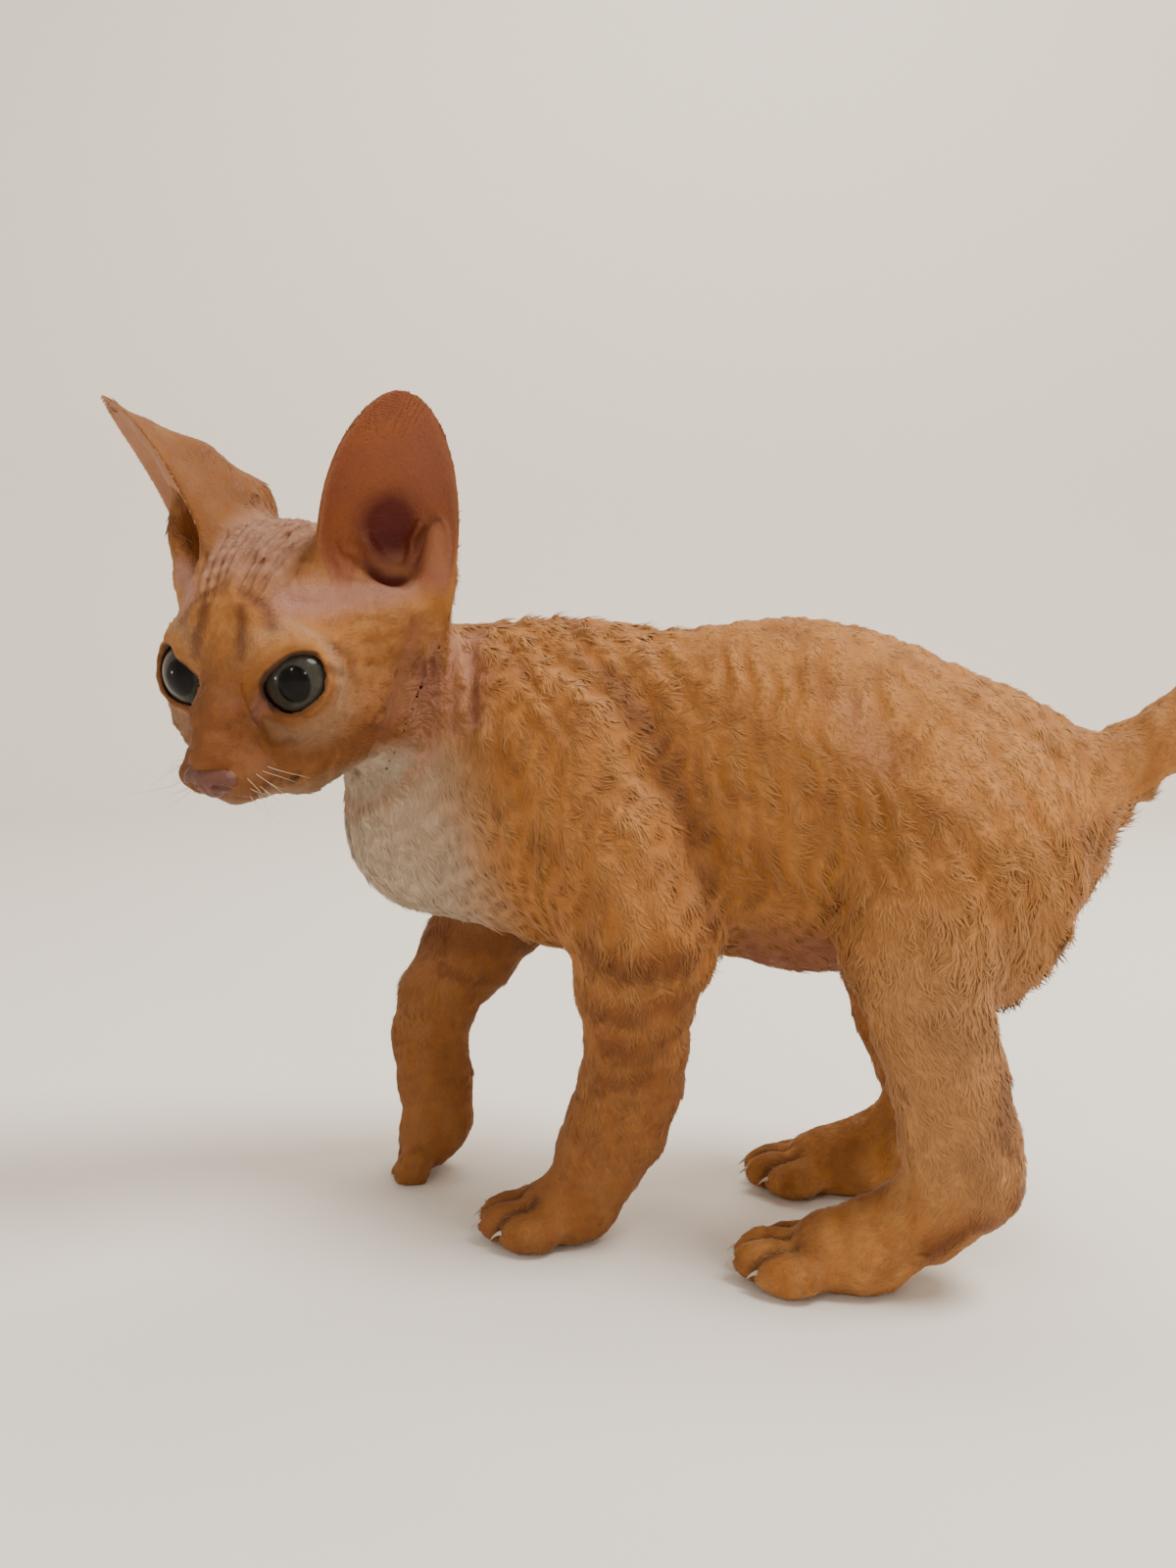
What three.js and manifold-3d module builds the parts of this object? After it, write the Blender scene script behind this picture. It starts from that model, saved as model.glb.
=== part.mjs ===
// A devon rex kitten standing still, life size, in millimetres.
// +Z is up, the body points along -Y, and its left side is towards +X.
// The skin is one smooth field of blended masses. Each part of the body is that field, meshed at its own
// step and parted from its neighbours by flat cuts, so that neighbours meet face to face across a gap.
import * as THREE from 'three';
import { mergeVertices } from 'three/addons/utils/BufferGeometryUtils.js';
import Module from 'manifold-3d';

const wasm = await Module();
wasm.setup();

// Driving sizes of the kitten
const GAP = 0.3;
const EYE_RADIUS = 8.0;
const EAR_HALF_SPAN = 28;

// Small helpers for points
const vec = (x, y, z) => new THREE.Vector3(x, y, z);
const radians = THREE.MathUtils.degToRad;
const mix = (a, b, t) => a + (b - a) * t;
const clamp = THREE.MathUtils.clamp;

// Blending of two distances over a width
function smoothMin(a, b, width) {
  const h = Math.max(width - Math.abs(a - b), 0) / width;
  return Math.min(a, b) - h * h * width / 4;
}

function smoothMax(a, b, width) {
  return -smoothMin(-a, -b, width);
}

// A frame is a place with a turn: yaw about Z, after pitch about X, after roll about Y, in degrees
function frame(place, yaw, pitch = 0, roll = 0) {
  const turn = new THREE.Matrix4().makeRotationFromEuler(
    new THREE.Euler(radians(pitch), radians(roll), radians(yaw), 'ZXY'));
  const matrix = new THREE.Matrix4().makeTranslation(...place).multiply(turn);
  return { matrix, inverse: matrix.clone().invert() };
}

const toWorld = (at, point) => vec(...point).applyMatrix4(at.matrix);

// Masses of the field: each gives the signed distance of a point, below zero inside
function egg(centre, radii, yaw = 0, pitch = 0, roll = 0) {
  const at = frame(centre, yaw, pitch, roll);
  const q = vec(0, 0, 0);
  return (p) => {
    q.copy(p).applyMatrix4(at.inverse);
    const near = Math.hypot(q.x / radii[0], q.y / radii[1], q.z / radii[2]);
    const slope = Math.hypot(q.x / radii[0] ** 2, q.y / radii[1] ** 2, q.z / radii[2] ** 2);
    return slope < 1e-6 ? -Math.min(...radii) : near * (near - 1) / slope;
  };
}

// A limb runs through joints of [x, y, z, radius], flattened sideways by its width factor
function limb(joints, blend = 4, flat = 1) {
  const from = vec(0, 0, 0);
  const along = vec(0, 0, 0);
  return (p) => {
    let distance = Infinity;
    for (let i = 1; i < joints.length; i++) {
      const [ax, ay, az, ra] = joints[i - 1];
      const [bx, by, bz, rb] = joints[i];
      along.set(bx - ax, by - ay, bz - az);
      from.set(p.x - ax, p.y - ay, p.z - az);
      const t = clamp(from.dot(along) / along.lengthSq(), 0, 1);
      from.addScaledVector(along, -t);
      from.x /= flat;
      distance = smoothMin(distance, from.length() - mix(ra, rb, t), blend);
    }
    return distance;
  };
}

// The trunk is a loft of egg-shaped sections at stations of [y, x, top, bottom, half width]
const TRUNK = [
  [-64, 1, 128, 78, 19],
  [-46, 0, 138, 69, 24],
  [-30, -2, 141.5, 63.5, 26.5],
  [-9, -4, 139, 62, 27.5],
  [12, -4, 142, 62.5, 28.5],
  [28, -4, 143, 59.5, 28.5],
  [44, -4, 140, 61, 27],
  [60, -4, 133.5, 68, 25],
  [78, -4, 122.5, 75, 20],
  [90, -4, 112, 82, 13],
];

function spline(table, y, column) {
  const last = table.length - 1;
  if (y <= table[0][0]) return table[0][column];
  if (y >= table[last][0]) return table[last][column];
  let i = 1;
  while (y > table[i][0]) i++;
  const slope = (k) => {
    const a = Math.max(k - 1, 0);
    const b = Math.min(k + 1, last);
    return (table[b][column] - table[a][column]) / (table[b][0] - table[a][0]);
  };
  const span = table[i][0] - table[i - 1][0];
  const t = (y - table[i - 1][0]) / span;
  const h00 = (1 + 2 * t) * (1 - t) ** 2;
  const h10 = t * (1 - t) ** 2;
  const h01 = t * t * (3 - 2 * t);
  const h11 = t * t * (t - 1);
  return h00 * table[i - 1][column] + h10 * span * slope(i - 1)
    + h01 * table[i][column] + h11 * span * slope(i);
}

function trunk(p) {
  const [x, top, bottom, half] = [1, 2, 3, 4].map((column) => spline(TRUNK, p.y, column));
  const middle = mix(bottom, top, 0.52);
  const tall = p.z > middle ? top - middle : middle - bottom;
  const u = (p.x - x) / half;
  const v = (p.z - middle) / tall;
  const near = Math.hypot(u, v);
  const slope = Math.hypot(u / half, v / tall);
  const section = slope < 1e-6 ? -half : near * (near - 1) / slope;
  const ends = Math.max(TRUNK[0][0] - p.y, p.y - TRUNK[TRUNK.length - 1][0]);
  return smoothMax(section, ends, 8);
}

// Masses of the trunk, each with the width over which it blends in
const BODY = [
  [egg([4, -59, 95], [19, 21, 22]), 12],
  [egg([-4, 71, 97], [22, 25, 26]), 12],
  [limb([[-1, -44, 117, 24], [1, -62, 123, 18.5], [10, -77, 129, 17]], 8), 12],
  [egg([19, -22, 98], [11, 21, 31], 0, 22), 9],
  [egg([-21, -34, 98], [11, 21, 31], 0, 8), 9],
  [egg([-4, -18, 131], [15, 16, 10]), 10],
];

// Legs: chains of joints from the trunk down to the wrist or the hock
const FORELEG_LEFT = [
  [22, -10, 88, 16], [24, -2, 72, 16.2], [22, -5, 61, 14], [21, -5, 48, 11.9],
  [19, -6.5, 39, 11.6], [18, -10, 28, 11.3], [17, -14, 20, 10.2], [17, -17, 12, 9],
];
const FORELEG_RIGHT = [
  [-22, -36, 88, 16], [-22, -48, 72, 16], [-21, -57, 58, 13.2], [-20, -65, 46, 11],
  [-19, -67.5, 35, 10.1], [-17.5, -65.5, 24, 9.8], [-16, -64, 15, 9.4],
];
const HINDLEG_LEFT = [
  [17, 62, 92, 18], [24, 54, 72, 16.5], [27, 57, 58, 12.8], [26, 60.5, 46, 12],
  [25.5, 63, 33, 12], [25, 65, 25, 9.8],
];
const HINDLEG_RIGHT = [
  [-23, 60, 92, 18], [-28, 50, 72, 16.5], [-28, 51, 58, 12.8], [-27.5, 54, 46, 12.1],
  [-27, 59.5, 33, 11.6], [-27, 62, 25, 10],
];
const THIGH_LEFT = egg([17, 63, 84], [12, 24, 29], 0, -12);
const THIGH_RIGHT = egg([-25, 60, 84], [12, 24, 29], 0, -12);

// A paw in its own frame: toes towards -Y, the sole at z 0
const TOES = [[-8.2, -8.5, 4.3], [-3, -13, 4.9], [3, -13, 4.9], [8.2, -8.5, 4.3]];
const TOE_RADII = [4.1, 7.2, 4.9];

function paw(place, yaw, pitch, palm) {
  const at = frame(place, yaw, pitch);
  const pads = [[egg([0, palm[1], palm[2]], palm[0]), 4]];
  for (const [x, y, z] of TOES) pads.push([egg([x, y, z], TOE_RADII, -x * 1.6, 8), 1.6]);
  const q = vec(0, 0, 0);
  return (p) => {
    q.copy(p).applyMatrix4(at.inverse);
    return pads.reduce((distance, [mass, width]) => smoothMin(distance, mass(q), width), Infinity);
  };
}

const FOREPAW_LEFT = paw([16.5, -22, 0.2], 6, 0, [[9.2, 11, 8], -1, 6.5]);
const FOREPAW_RIGHT = paw([-15, -60.5, 8.2], 4, 60, [[8.6, 9, 7.5], -2, 5.5]);
const HINDPAW_LEFT = paw([26, 37, 0.2], -3, 0, [[8.8, 13, 7.2], 3, 6.2]);
const HINDPAW_RIGHT = paw([-25, 35.5, 0.2], 6, 0, [[8.8, 13, 7.2], 3, 6.2]);
const METATARSUS_LEFT = limb([
  [25, 65.5, 25.5, 9.8], [25.5, 57, 16.5, 9.1], [26, 46, 10, 8.7], [26, 38, 8, 7.6],
]);
const METATARSUS_RIGHT = limb([
  [-27, 63, 23, 9.8], [-26.5, 54, 14.5, 9.2], [-26, 44, 9.2, 8.6], [-25, 36, 7.6, 7.4],
]);

const LIMBS = [
  [limb(FORELEG_LEFT, 4, 0.9), FOREPAW_LEFT],
  [limb(FORELEG_RIGHT, 4, 0.9), FOREPAW_RIGHT],
  [limb(HINDLEG_LEFT, 4, 0.9), THIGH_LEFT, METATARSUS_LEFT, HINDPAW_LEFT],
  [limb(HINDLEG_RIGHT, 4, 0.9), THIGH_RIGHT, METATARSUS_RIGHT, HINDPAW_RIGHT],
];
const TAIL = limb([
  [-4, 84, 100, 11], [-4.5, 98, 108, 8.8], [-5.5, 114, 119.5, 8.2], [-7, 136, 136, 7],
  [-10, 155, 153, 5.8], [-13, 169, 171, 4.6], [-15, 177, 187, 3.2], [-15.5, 179, 192, 2.2],
], 6);

// The head in its own frame: the nose towards -Y, the left side towards +X
const HEAD = frame([29, -84, 131], 83, 25, 4);
const SKULL = [
  [egg([0, 6, 8.3], [21.5, 23.5, 22.2]), 0.01],
  [egg([0, -7, 8], [16.5, 14, 13.5]), 8],
  [egg([0, -24, -9.5], [8, 10.5, 7]), 7],
  [limb([[0, -16, 7, 6.8], [0, -26, -0.5, 4.8], [0, -32, -6, 3.9]], 4), 4],
];
const SKULL_PAIRS = [
  [(s) => egg([15.5 * s, -3, -7], [10.5, 14, 10.5]), 9],
  [(s) => limb([[16 * s, 5, -12, 8.5], [9 * s, -14, -17, 7]], 4), 8],
  [(s) => egg([5.4 * s, -27.5, -12.6], [5.6, 6.6, 5.2]), 3],
  [(s) => egg([10.5 * s, -14.5, 9.2], [7.5, 5.5, 4.6], 24 * s), 5],
  [(s) => egg([22 * s, 12, 7], [10.5, 9, 13], 0, 0, 18 * s), 8],
  [(s) => egg([12.4 * s, -12.4, 3], [9.7, 9.7, 9.7]), 4],
];
const CHIN = egg([0, -24, -17.6], [6, 6.5, 4.4]);

const skullMasses = [...SKULL, [CHIN, 4]];
for (const side of [-1, 1]) {
  for (const [mass, width] of SKULL_PAIRS) skullMasses.push([mass(side), width]);
}
const EYES = { left: [12.4, -12.4, 3], right: [-12.4, -12.4, 3] };
const EYE_TURN = 21;
const EYE_TILT = 4;
const EAR_CANALS = [1, -1].map((s) => egg([25 * s, 9.5, 20], [5, 5, 7], 0, 0, 18 * s));

const headPoint = vec(0, 0, 0);
function head(p) {
  headPoint.copy(p).applyMatrix4(HEAD.inverse);
  let distance = skullMasses.reduce((d, [mass, width]) => smoothMin(d, mass(headPoint), width), 1e3);
  for (const canal of EAR_CANALS) distance = smoothMax(distance, -canal(headPoint), 3);
  return distance;
}

// The whole skin
function torsoField(p) {
  let distance = trunk(p);
  for (const [mass, width] of BODY) distance = smoothMin(distance, mass(p), width);
  return smoothMin(distance, TAIL(p), 9);
}

function skin(p) {
  const torso = torsoField(p);
  let distance = smoothMin(torso, head(p), 7);
  for (const [chain, ...masses] of LIMBS) {
    const leg = masses.reduce((d, mass) => smoothMin(d, mass(p), 5), chain(p));
    distance = Math.min(distance, smoothMin(torso, leg, 9));
  }
  return distance;
}

// Surface nets: one vertex in each cell that the skin crosses, drawn on to the skin itself
function surfaceNet(field, low, high, step) {
  const count = low.map((v, i) => Math.ceil((high[i] - v) / step) + 1);
  const [nx, ny, nz] = count;
  const value = new Float64Array(nx * ny * nz);
  const p = vec(0, 0, 0);
  const index = (i, j, k) => (k * ny + j) * nx + i;
  for (let k = 0; k < nz; k++) {
    for (let j = 0; j < ny; j++) {
      for (let i = 0; i < nx; i++) {
        p.set(low[0] + i * step, low[1] + j * step, low[2] + k * step);
        const edge = i === 0 || j === 0 || k === 0 || i === nx - 1 || j === ny - 1 || k === nz - 1;
        const d = field(p);
        value[index(i, j, k)] = edge ? Math.max(d, step / 2) : (d === 0 ? 1e-6 : d);
      }
    }
  }
  const vertexOf = new Int32Array(nx * ny * nz).fill(-1);
  const positions = [];
  const corners = [0, 1, nx, nx + 1, nx * ny, nx * ny + 1, nx * ny + nx, nx * ny + nx + 1];
  const edges = [
    [0, 1], [2, 3], [4, 5], [6, 7], [0, 2], [1, 3], [4, 6], [5, 7], [0, 4], [1, 5], [2, 6], [3, 7],
  ];
  for (let k = 0; k < nz - 1; k++) {
    for (let j = 0; j < ny - 1; j++) {
      for (let i = 0; i < nx - 1; i++) {
        const here = index(i, j, k);
        const sum = vec(0, 0, 0);
        let crossings = 0;
        for (const [a, b] of edges) {
          const va = value[here + corners[a]];
          const vb = value[here + corners[b]];
          if ((va < 0) === (vb < 0)) continue;
          const t = va / (va - vb);
          const [xa, ya, za] = [a & 1, (a >> 1) & 1, a >> 2];
          const [xb, yb, zb] = [b & 1, (b >> 1) & 1, b >> 2];
          sum.add(p.set(mix(xa, xb, t), mix(ya, yb, t), mix(za, zb, t)));
          crossings++;
        }
        if (!crossings) continue;
        sum.divideScalar(crossings);
        const spot = vec(i, j, k).add(sum).multiplyScalar(step).add(vec(...low));
        drawOnTo(field, spot, step);
        vertexOf[here] = positions.length / 3;
        positions.push(spot.x, spot.y, spot.z);
      }
    }
  }
  const triangles = [];
  const strides = [1, nx, nx * ny];
  const turns = [[1, 2], [2, 0], [0, 1]];
  for (let k = 0; k < nz - 1; k++) {
    for (let j = 0; j < ny - 1; j++) {
      for (let i = 0; i < nx - 1; i++) {
        const here = index(i, j, k);
        for (let axis = 0; axis < 3; axis++) {
          const inside = value[here] < 0;
          if (inside === (value[here + strides[axis]] < 0)) continue;
          const [u, v] = turns[axis].map((n) => strides[n]);
          const quad = [here - u - v, here - v, here, here - u].map((cell) => vertexOf[cell]);
          pushQuad(triangles, positions, inside ? quad : quad.reverse());
        }
      }
    }
  }
  return { positions, triangles };
}

// One careful step along the slope of the field, at most half a cell
function drawOnTo(field, spot, step) {
  const e = step * 0.05;
  const probe = vec(0, 0, 0);
  for (let round = 0; round < 2; round++) {
    const d = field(spot);
    const slope = vec(
      field(probe.set(spot.x + e, spot.y, spot.z)) - d,
      field(probe.set(spot.x, spot.y + e, spot.z)) - d,
      field(probe.set(spot.x, spot.y, spot.z + e)) - d).divideScalar(e);
    const steep = Math.max(slope.lengthSq(), 0.25);
    const shift = slope.multiplyScalar(-d / steep);
    if (shift.length() > step * 0.3) shift.setLength(step * 0.3);
    spot.add(shift);
  }
}

function pushQuad(triangles, positions, quad) {
  const [a, b, c, d] = quad;
  const reach = (m, n) => Math.hypot(...[0, 1, 2].map((i) => positions[3 * m + i] - positions[3 * n + i]));
  if (reach(a, c) <= reach(b, d)) triangles.push(a, b, c, a, c, d);
  else triangles.push(a, b, d, b, c, d);
}

// Solids of the manifold library and back
function solidFrom(positions, triangles) {
  return new wasm.Manifold(new wasm.Mesh({
    numProp: 3, vertProperties: new Float32Array(positions), triVerts: new Uint32Array(triangles),
  }));
}

function solidOf(geometry) {
  geometry.deleteAttribute('normal');
  geometry.deleteAttribute('uv');
  const merged = mergeVertices(geometry, 1e-4);
  return solidFrom(merged.attributes.position.array, merged.index.array);
}

function largest(solid) {
  const pieces = solid.decompose();
  return pieces.reduce((best, piece) => (piece.volume() > best.volume() ? piece : best));
}

// Edges shorter than this, left by cuts, are drawn together where the surface stays closed
const SHORTEST_EDGE = 0.2;

function withoutShortEdges(positions, triangles) {
  const faces = triangles.map((face) => face.slice());
  const around = new Map();
  const join = (vertex, face) => around.set(vertex, (around.get(vertex) ?? new Set()).add(face));
  faces.forEach((face, n) => face.forEach((vertex) => join(vertex, n)));
  const neighbours = (vertex) => new Set([...around.get(vertex)].flatMap((n) => faces[n]));
  const point = (vertex) => vec(...positions.slice(3 * vertex, 3 * vertex + 3));
  const queue = faces.flatMap((face) => [[face[0], face[1]], [face[1], face[2]], [face[2], face[0]]]);
  queue.sort(([a, b], [c, d]) => point(a).distanceTo(point(b)) - point(c).distanceTo(point(d)));
  for (const [a, b] of queue) {
    if (point(a).distanceTo(point(b)) > SHORTEST_EDGE) break;
    if (!around.get(a)?.size || !around.get(b)?.size) continue;
    const shared = [...around.get(a)].filter((n) => around.get(b).has(n));
    const ring = neighbours(a);
    const common = [...neighbours(b)].filter((v) => ring.has(v) && v !== a && v !== b);
    if (shared.length !== 2 || common.length !== 2) continue;
    for (const n of shared) {
      for (const vertex of faces[n]) around.get(vertex).delete(n);
      faces[n] = null;
    }
    for (const n of around.get(b)) {
      faces[n] = faces[n].map((vertex) => (vertex === b ? a : vertex));
      join(a, n);
    }
    around.set(b, new Set());
  }
  return faces.filter((face) => face);
}

function geometryOf(solid) {
  const mesh = solid.getMesh();
  const positions = [...mesh.vertProperties];
  const triangles = [];
  for (let i = 0; i < mesh.triVerts.length; i += 3) triangles.push([...mesh.triVerts.slice(i, i + 3)]);
  const geometry = new THREE.BufferGeometry();
  geometry.setAttribute('position', new THREE.BufferAttribute(new Float32Array(positions), 3));
  geometry.setIndex(withoutShortEdges(positions, triangles).flat());
  return geometry;
}

// A region is what lies in front of all its faces of [point, normal]; grow moves every face outwards
const REACH = 260;

function region(faces, grow) {
  return faces.map(([point, normal]) => {
    const n = vec(...normal).normalize();
    const block = new THREE.BoxGeometry(2 * REACH, 2 * REACH, 2 * REACH);
    const turn = new THREE.Matrix4().makeRotationFromQuaternion(
      new THREE.Quaternion().setFromUnitVectors(vec(0, 0, 1), n));
    const middle = vec(...point).addScaledVector(n, REACH - grow);
    block.applyMatrix4(new THREE.Matrix4().makeTranslation(middle.x, middle.y, middle.z).multiply(turn));
    return solidOf(block);
  }).reduce((whole, part) => whole.intersect(part));
}

const FLOOR = [[0, 0, 0], [0, 0, 1]];
const NECK_FACE = [[-1, -57, 121], [0.1, -0.78, 0.6]];
const CUTS = {
  head: [[[4.5, -71, 126], [0.6, -0.72, 0.34]], NECK_FACE],
  neck: [NECK_FACE],
  tail: [[[-4, 94, 105], [0, 0.8, 0.6]]],
  foreleg_left: [[[20, -5, 65], [0.3, 0, -0.95]], [[6, 0, 0], [1, 0, 0]], [[0, 20, 0], [0, -1, 0]]],
  foreleg_right: [[[-18, -52, 66], [-0.3, -0.3, -0.9]], [[-3, 0, 0], [-1, 0, 0]], [[0, 0, 0], [0, -1, 0]]],
  hindleg_left: [[[20, 62, 71], [0.3, 0.35, -0.89]], [[2, 0, 0], [1, 0, 0]], [[0, 32, 0], [0, 1, 0]]],
  hindleg_right: [[[-28, 62, 71], [-0.3, 0.35, -0.89]], [[-10, 0, 0], [-1, 0, 0]], [[0, 32, 0], [0, 1, 0]]],
  forepaw_left: [[[17, -14, 20], [0, -0.3, -0.95]], FLOOR],
  forepaw_right: [[[-16, -65.5, 18], [0, 0, -1]], FLOOR],
  hindpaw_left: [[[25, 64, 31], [0, -0.3, -0.95]], FLOOR],
  hindpaw_right: [[[-27, 64, 31], [0, -0.3, -0.95]], FLOOR],
};
const inside = (name) => region(CUTS[name], 0);
const beyond = (name) => region(CUTS[name], GAP);

// The box and the step with which each part is meshed
const BOXES = {
  torso: [[-42, -86, 50], [38, 108, 152], 7.2],
  neck: [[-30, -104, 84], [42, -30, 156], 4.6],
  tail: [[-30, 82, 86], [10, 190, 204], 5.4],
  foreleg_left: [[4, -34, 8], [42, 22, 92], 5.2],
  foreleg_right: [[-42, -90, 8], [0, -20, 92], 5.2],
  hindleg_left: [[-2, 26, 18], [46, 100, 100], 5.4],
  hindleg_right: [[-50, 26, 18], [-4, 100, 100], 5.4],
  forepaw_left: [[0, -50, -3], [34, 4, 32], 3.4],
  forepaw_right: [[-34, -90, -3], [4, -44, 32], 3.4],
  hindpaw_left: [[8, 8, -3], [44, 86, 42], 3.7],
  hindpaw_right: [[-46, 8, -3], [-6, 86, 42], 3.8],
};

// Curly coat: rounded clumps that lie along the hair, spread evenly over the skin and rooted in it
const CLUMP_HALF = [14, 8.8, 6];
const CLUMP_RISE = 2;
const CLUMP_SPREAD = 0.18;
const CLUMP_SEED = 7;
const CLUMPS = {
  torso: { apart: 20, lie: [0, 1, -0.45], from: (p) => p.y > -52 && p.y < 92, size: 1 },
  hindleg_left: { apart: 17, lie: [0, 0.3, -1], from: (p) => p.z > 44, size: 0.72 },
  hindleg_right: { apart: 17, lie: [0, 0.3, -1], from: (p) => p.z > 44, size: 0.72 },
  tail: { apart: 15, lie: [-0.1, 0.6, 0.75], from: (p) => p.y > 96 && p.y < 160, size: 0.62 },
};

function dice(seed) {
  let state = seed;
  return () => {
    state = (state * 48271) % 2147483647;
    return state / 2147483647;
  };
}

function slopeAt(spot) {
  const e = 0.5;
  const probe = vec(0, 0, 0);
  const across = (x, y, z) => skin(probe.set(spot.x + x, spot.y + y, spot.z + z))
    - skin(probe.set(spot.x - x, spot.y - y, spot.z - z));
  return vec(across(e, 0, 0), across(0, e, 0), across(0, 0, e)).normalize();
}

function clump(spot, lie, size, roll) {
  const up = slopeAt(spot);
  const along = vec(...lie).addScaledVector(vec(roll(), roll(), roll()).subScalar(0.5), 2 * CLUMP_SPREAD);
  along.addScaledVector(up, -along.dot(up)).normalize();
  const side = vec(0, 0, 0).crossVectors(up, along);
  const [long, wide, tall] = CLUMP_HALF.map((half) => half * size * mix(0.92, 1.1, roll()));
  const ball = new THREE.IcosahedronGeometry(1, 0).scale(long, wide, tall);
  const middle = spot.clone().addScaledVector(up, CLUMP_RISE * size - tall);
  const at = new THREE.Matrix4().makeBasis(along, side, up).setPosition(middle);
  return solidOf(ball.applyMatrix4(at));
}

function clumped(solid, net, { apart, lie, from, size }) {
  const roll = dice(CLUMP_SEED);
  const spots = [];
  for (let i = 0; i < net.positions.length; i += 3) spots.push(vec(...net.positions.slice(i, i + 3)));
  const order = spots.map((spot) => [roll(), spot]).sort(([a], [b]) => a - b);
  const chosen = [];
  for (const [, spot] of order) {
    if (!from(spot) || slopeAt(spot).z < -0.55 || Math.abs(skin(spot)) > 1) continue;
    if (chosen.every((other) => other.distanceTo(spot) > apart)) chosen.push(spot);
  }
  return chosen.reduce((whole, spot) => whole.add(clump(spot, lie, size, roll)), solid);
}

function flesh(name, without) {
  const [low, high, step] = BOXES[name];
  const net = surfaceNet(skin, low, high, step);
  let solid = solidFrom(net.positions, net.triangles);
  if (CLUMPS[name]) solid = clumped(solid, net, CLUMPS[name]);
  if (CUTS[name]) solid = solid.intersect(inside(name));
  for (const other of without) solid = solid.subtract(beyond(other));
  return largest(solid);
}

// Head: meshed in its own frame, parted from the neck, with sockets for the eyes
const HEAD_BOX = [[-34, -42, -44], [34, 44, 42]];
const HEAD_STEP = 3.5;

function eyeSolid(side, radius) {
  const ball = new THREE.SphereGeometry(radius, 14, 10);
  ball.applyMatrix4(new THREE.Matrix4().makeTranslation(...EYES[side]));
  return solidOf(ball.applyMatrix4(HEAD.matrix));
}

// An eye opening is a loop of directions round the gaze, given by its half width and half height in degrees
const LID_WIDE = 50;
const LID_HIGH = 43;
const LID_SLANT = 14;
const LID_STEPS = 18;
const LID_SIDES = 5;
const LID_RIM = 1.1;
const LID_HALF = 0.13;
const LID_LIFT = 1.3;
const LID_THICK = 1.2;

// A point of the loop: wider pushes it outwards, far is its distance from the middle of the eyeball
function lidPoint(side, i, wider, far) {
  const s = side === 'left' ? 1 : -1;
  const angle = (i / LID_STEPS) * 2 * Math.PI;
  const across = radians(LID_WIDE * wider) * Math.cos(angle);
  const rise = radians(LID_HIGH * wider) * Math.sin(angle);
  const slant = radians(LID_SLANT);
  const yaw = radians(EYE_TURN) + across * Math.cos(slant) - rise * Math.sin(slant);
  const lift = radians(EYE_TILT) + across * Math.sin(slant) + rise * Math.cos(slant);
  const spot = vec(s * Math.sin(yaw) * Math.cos(lift), -Math.cos(yaw) * Math.cos(lift), Math.sin(lift));
  return toWorld(HEAD, spot.multiplyScalar(far).add(vec(...EYES[side])).toArray());
}

function ringTriangles(steps, sides) {
  const triangles = [];
  for (let i = 0; i < steps; i++) {
    for (let j = 0; j < sides; j++) {
      const next = ((i + 1) % steps) * sides;
      const [a, b, c, d] = [i * sides + j, i * sides + (j + 1) % sides, next + (j + 1) % sides, next + j];
      triangles.push(a, b, c, a, c, d);
    }
  }
  return triangles;
}

// A closed mesh turned the right way out
function outward(positions, triangles) {
  const solid = solidFrom(positions, triangles);
  return solid.volume() > 0 ? solid : solidFrom(positions, triangles.reverse());
}

function lidRing(side) {
  const positions = [];
  for (let i = 0; i < LID_STEPS; i++) {
    for (let j = 0; j < LID_SIDES; j++) {
      const around = (j / LID_SIDES) * 2 * Math.PI;
      const wider = LID_RIM + LID_HALF * Math.cos(around);
      const spot = lidPoint(side, i, wider, EYE_RADIUS + LID_LIFT + LID_THICK * Math.sin(around));
      positions.push(...spot.toArray());
    }
  }
  return outward(positions, ringTriangles(LID_STEPS, LID_SIDES));
}

function lidOpening(side) {
  const positions = toWorld(HEAD, EYES[side]).toArray();
  const triangles = [];
  for (let i = 0; i < LID_STEPS; i++) positions.push(...lidPoint(side, i, 1, 2 * EYE_RADIUS).toArray());
  const cap = positions.length / 3;
  positions.push(...lidPoint(side, 0, 0, 2 * EYE_RADIUS).toArray());
  for (let i = 0; i < LID_STEPS; i++) {
    const next = (i + 1) % LID_STEPS;
    triangles.push(0, 1 + i, 1 + next, cap, 1 + next, 1 + i);
  }
  return outward(positions, triangles);
}

const NOSE_FACES = [
  [[0, -31.4, -12], [0, -1, 0]], [[0, -34, -14.6], [0, 0.3, 1]], [[0, -34, -8.6], [0, -0.25, -1]],
  [[6.2, -33, -12], [-1, 0.2, 0]], [[-6.2, -33, -12], [1, 0.2, 0]],
];
const noseRegion = (grow) => region(NOSE_FACES.map(([point, normal]) => [
  toWorld(HEAD, point).toArray(), vec(...normal).transformDirection(HEAD.matrix).toArray()]), grow);

function localNet(low, high, step) {
  const q = vec(0, 0, 0);
  const net = surfaceNet((p) => skin(q.copy(p).applyMatrix4(HEAD.matrix)), low, high, step);
  const positions = [];
  for (let i = 0; i < net.positions.length; i += 3) {
    positions.push(...toWorld(HEAD, net.positions.slice(i, i + 3)).toArray());
  }
  return solidFrom(positions, net.triangles);
}

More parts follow.
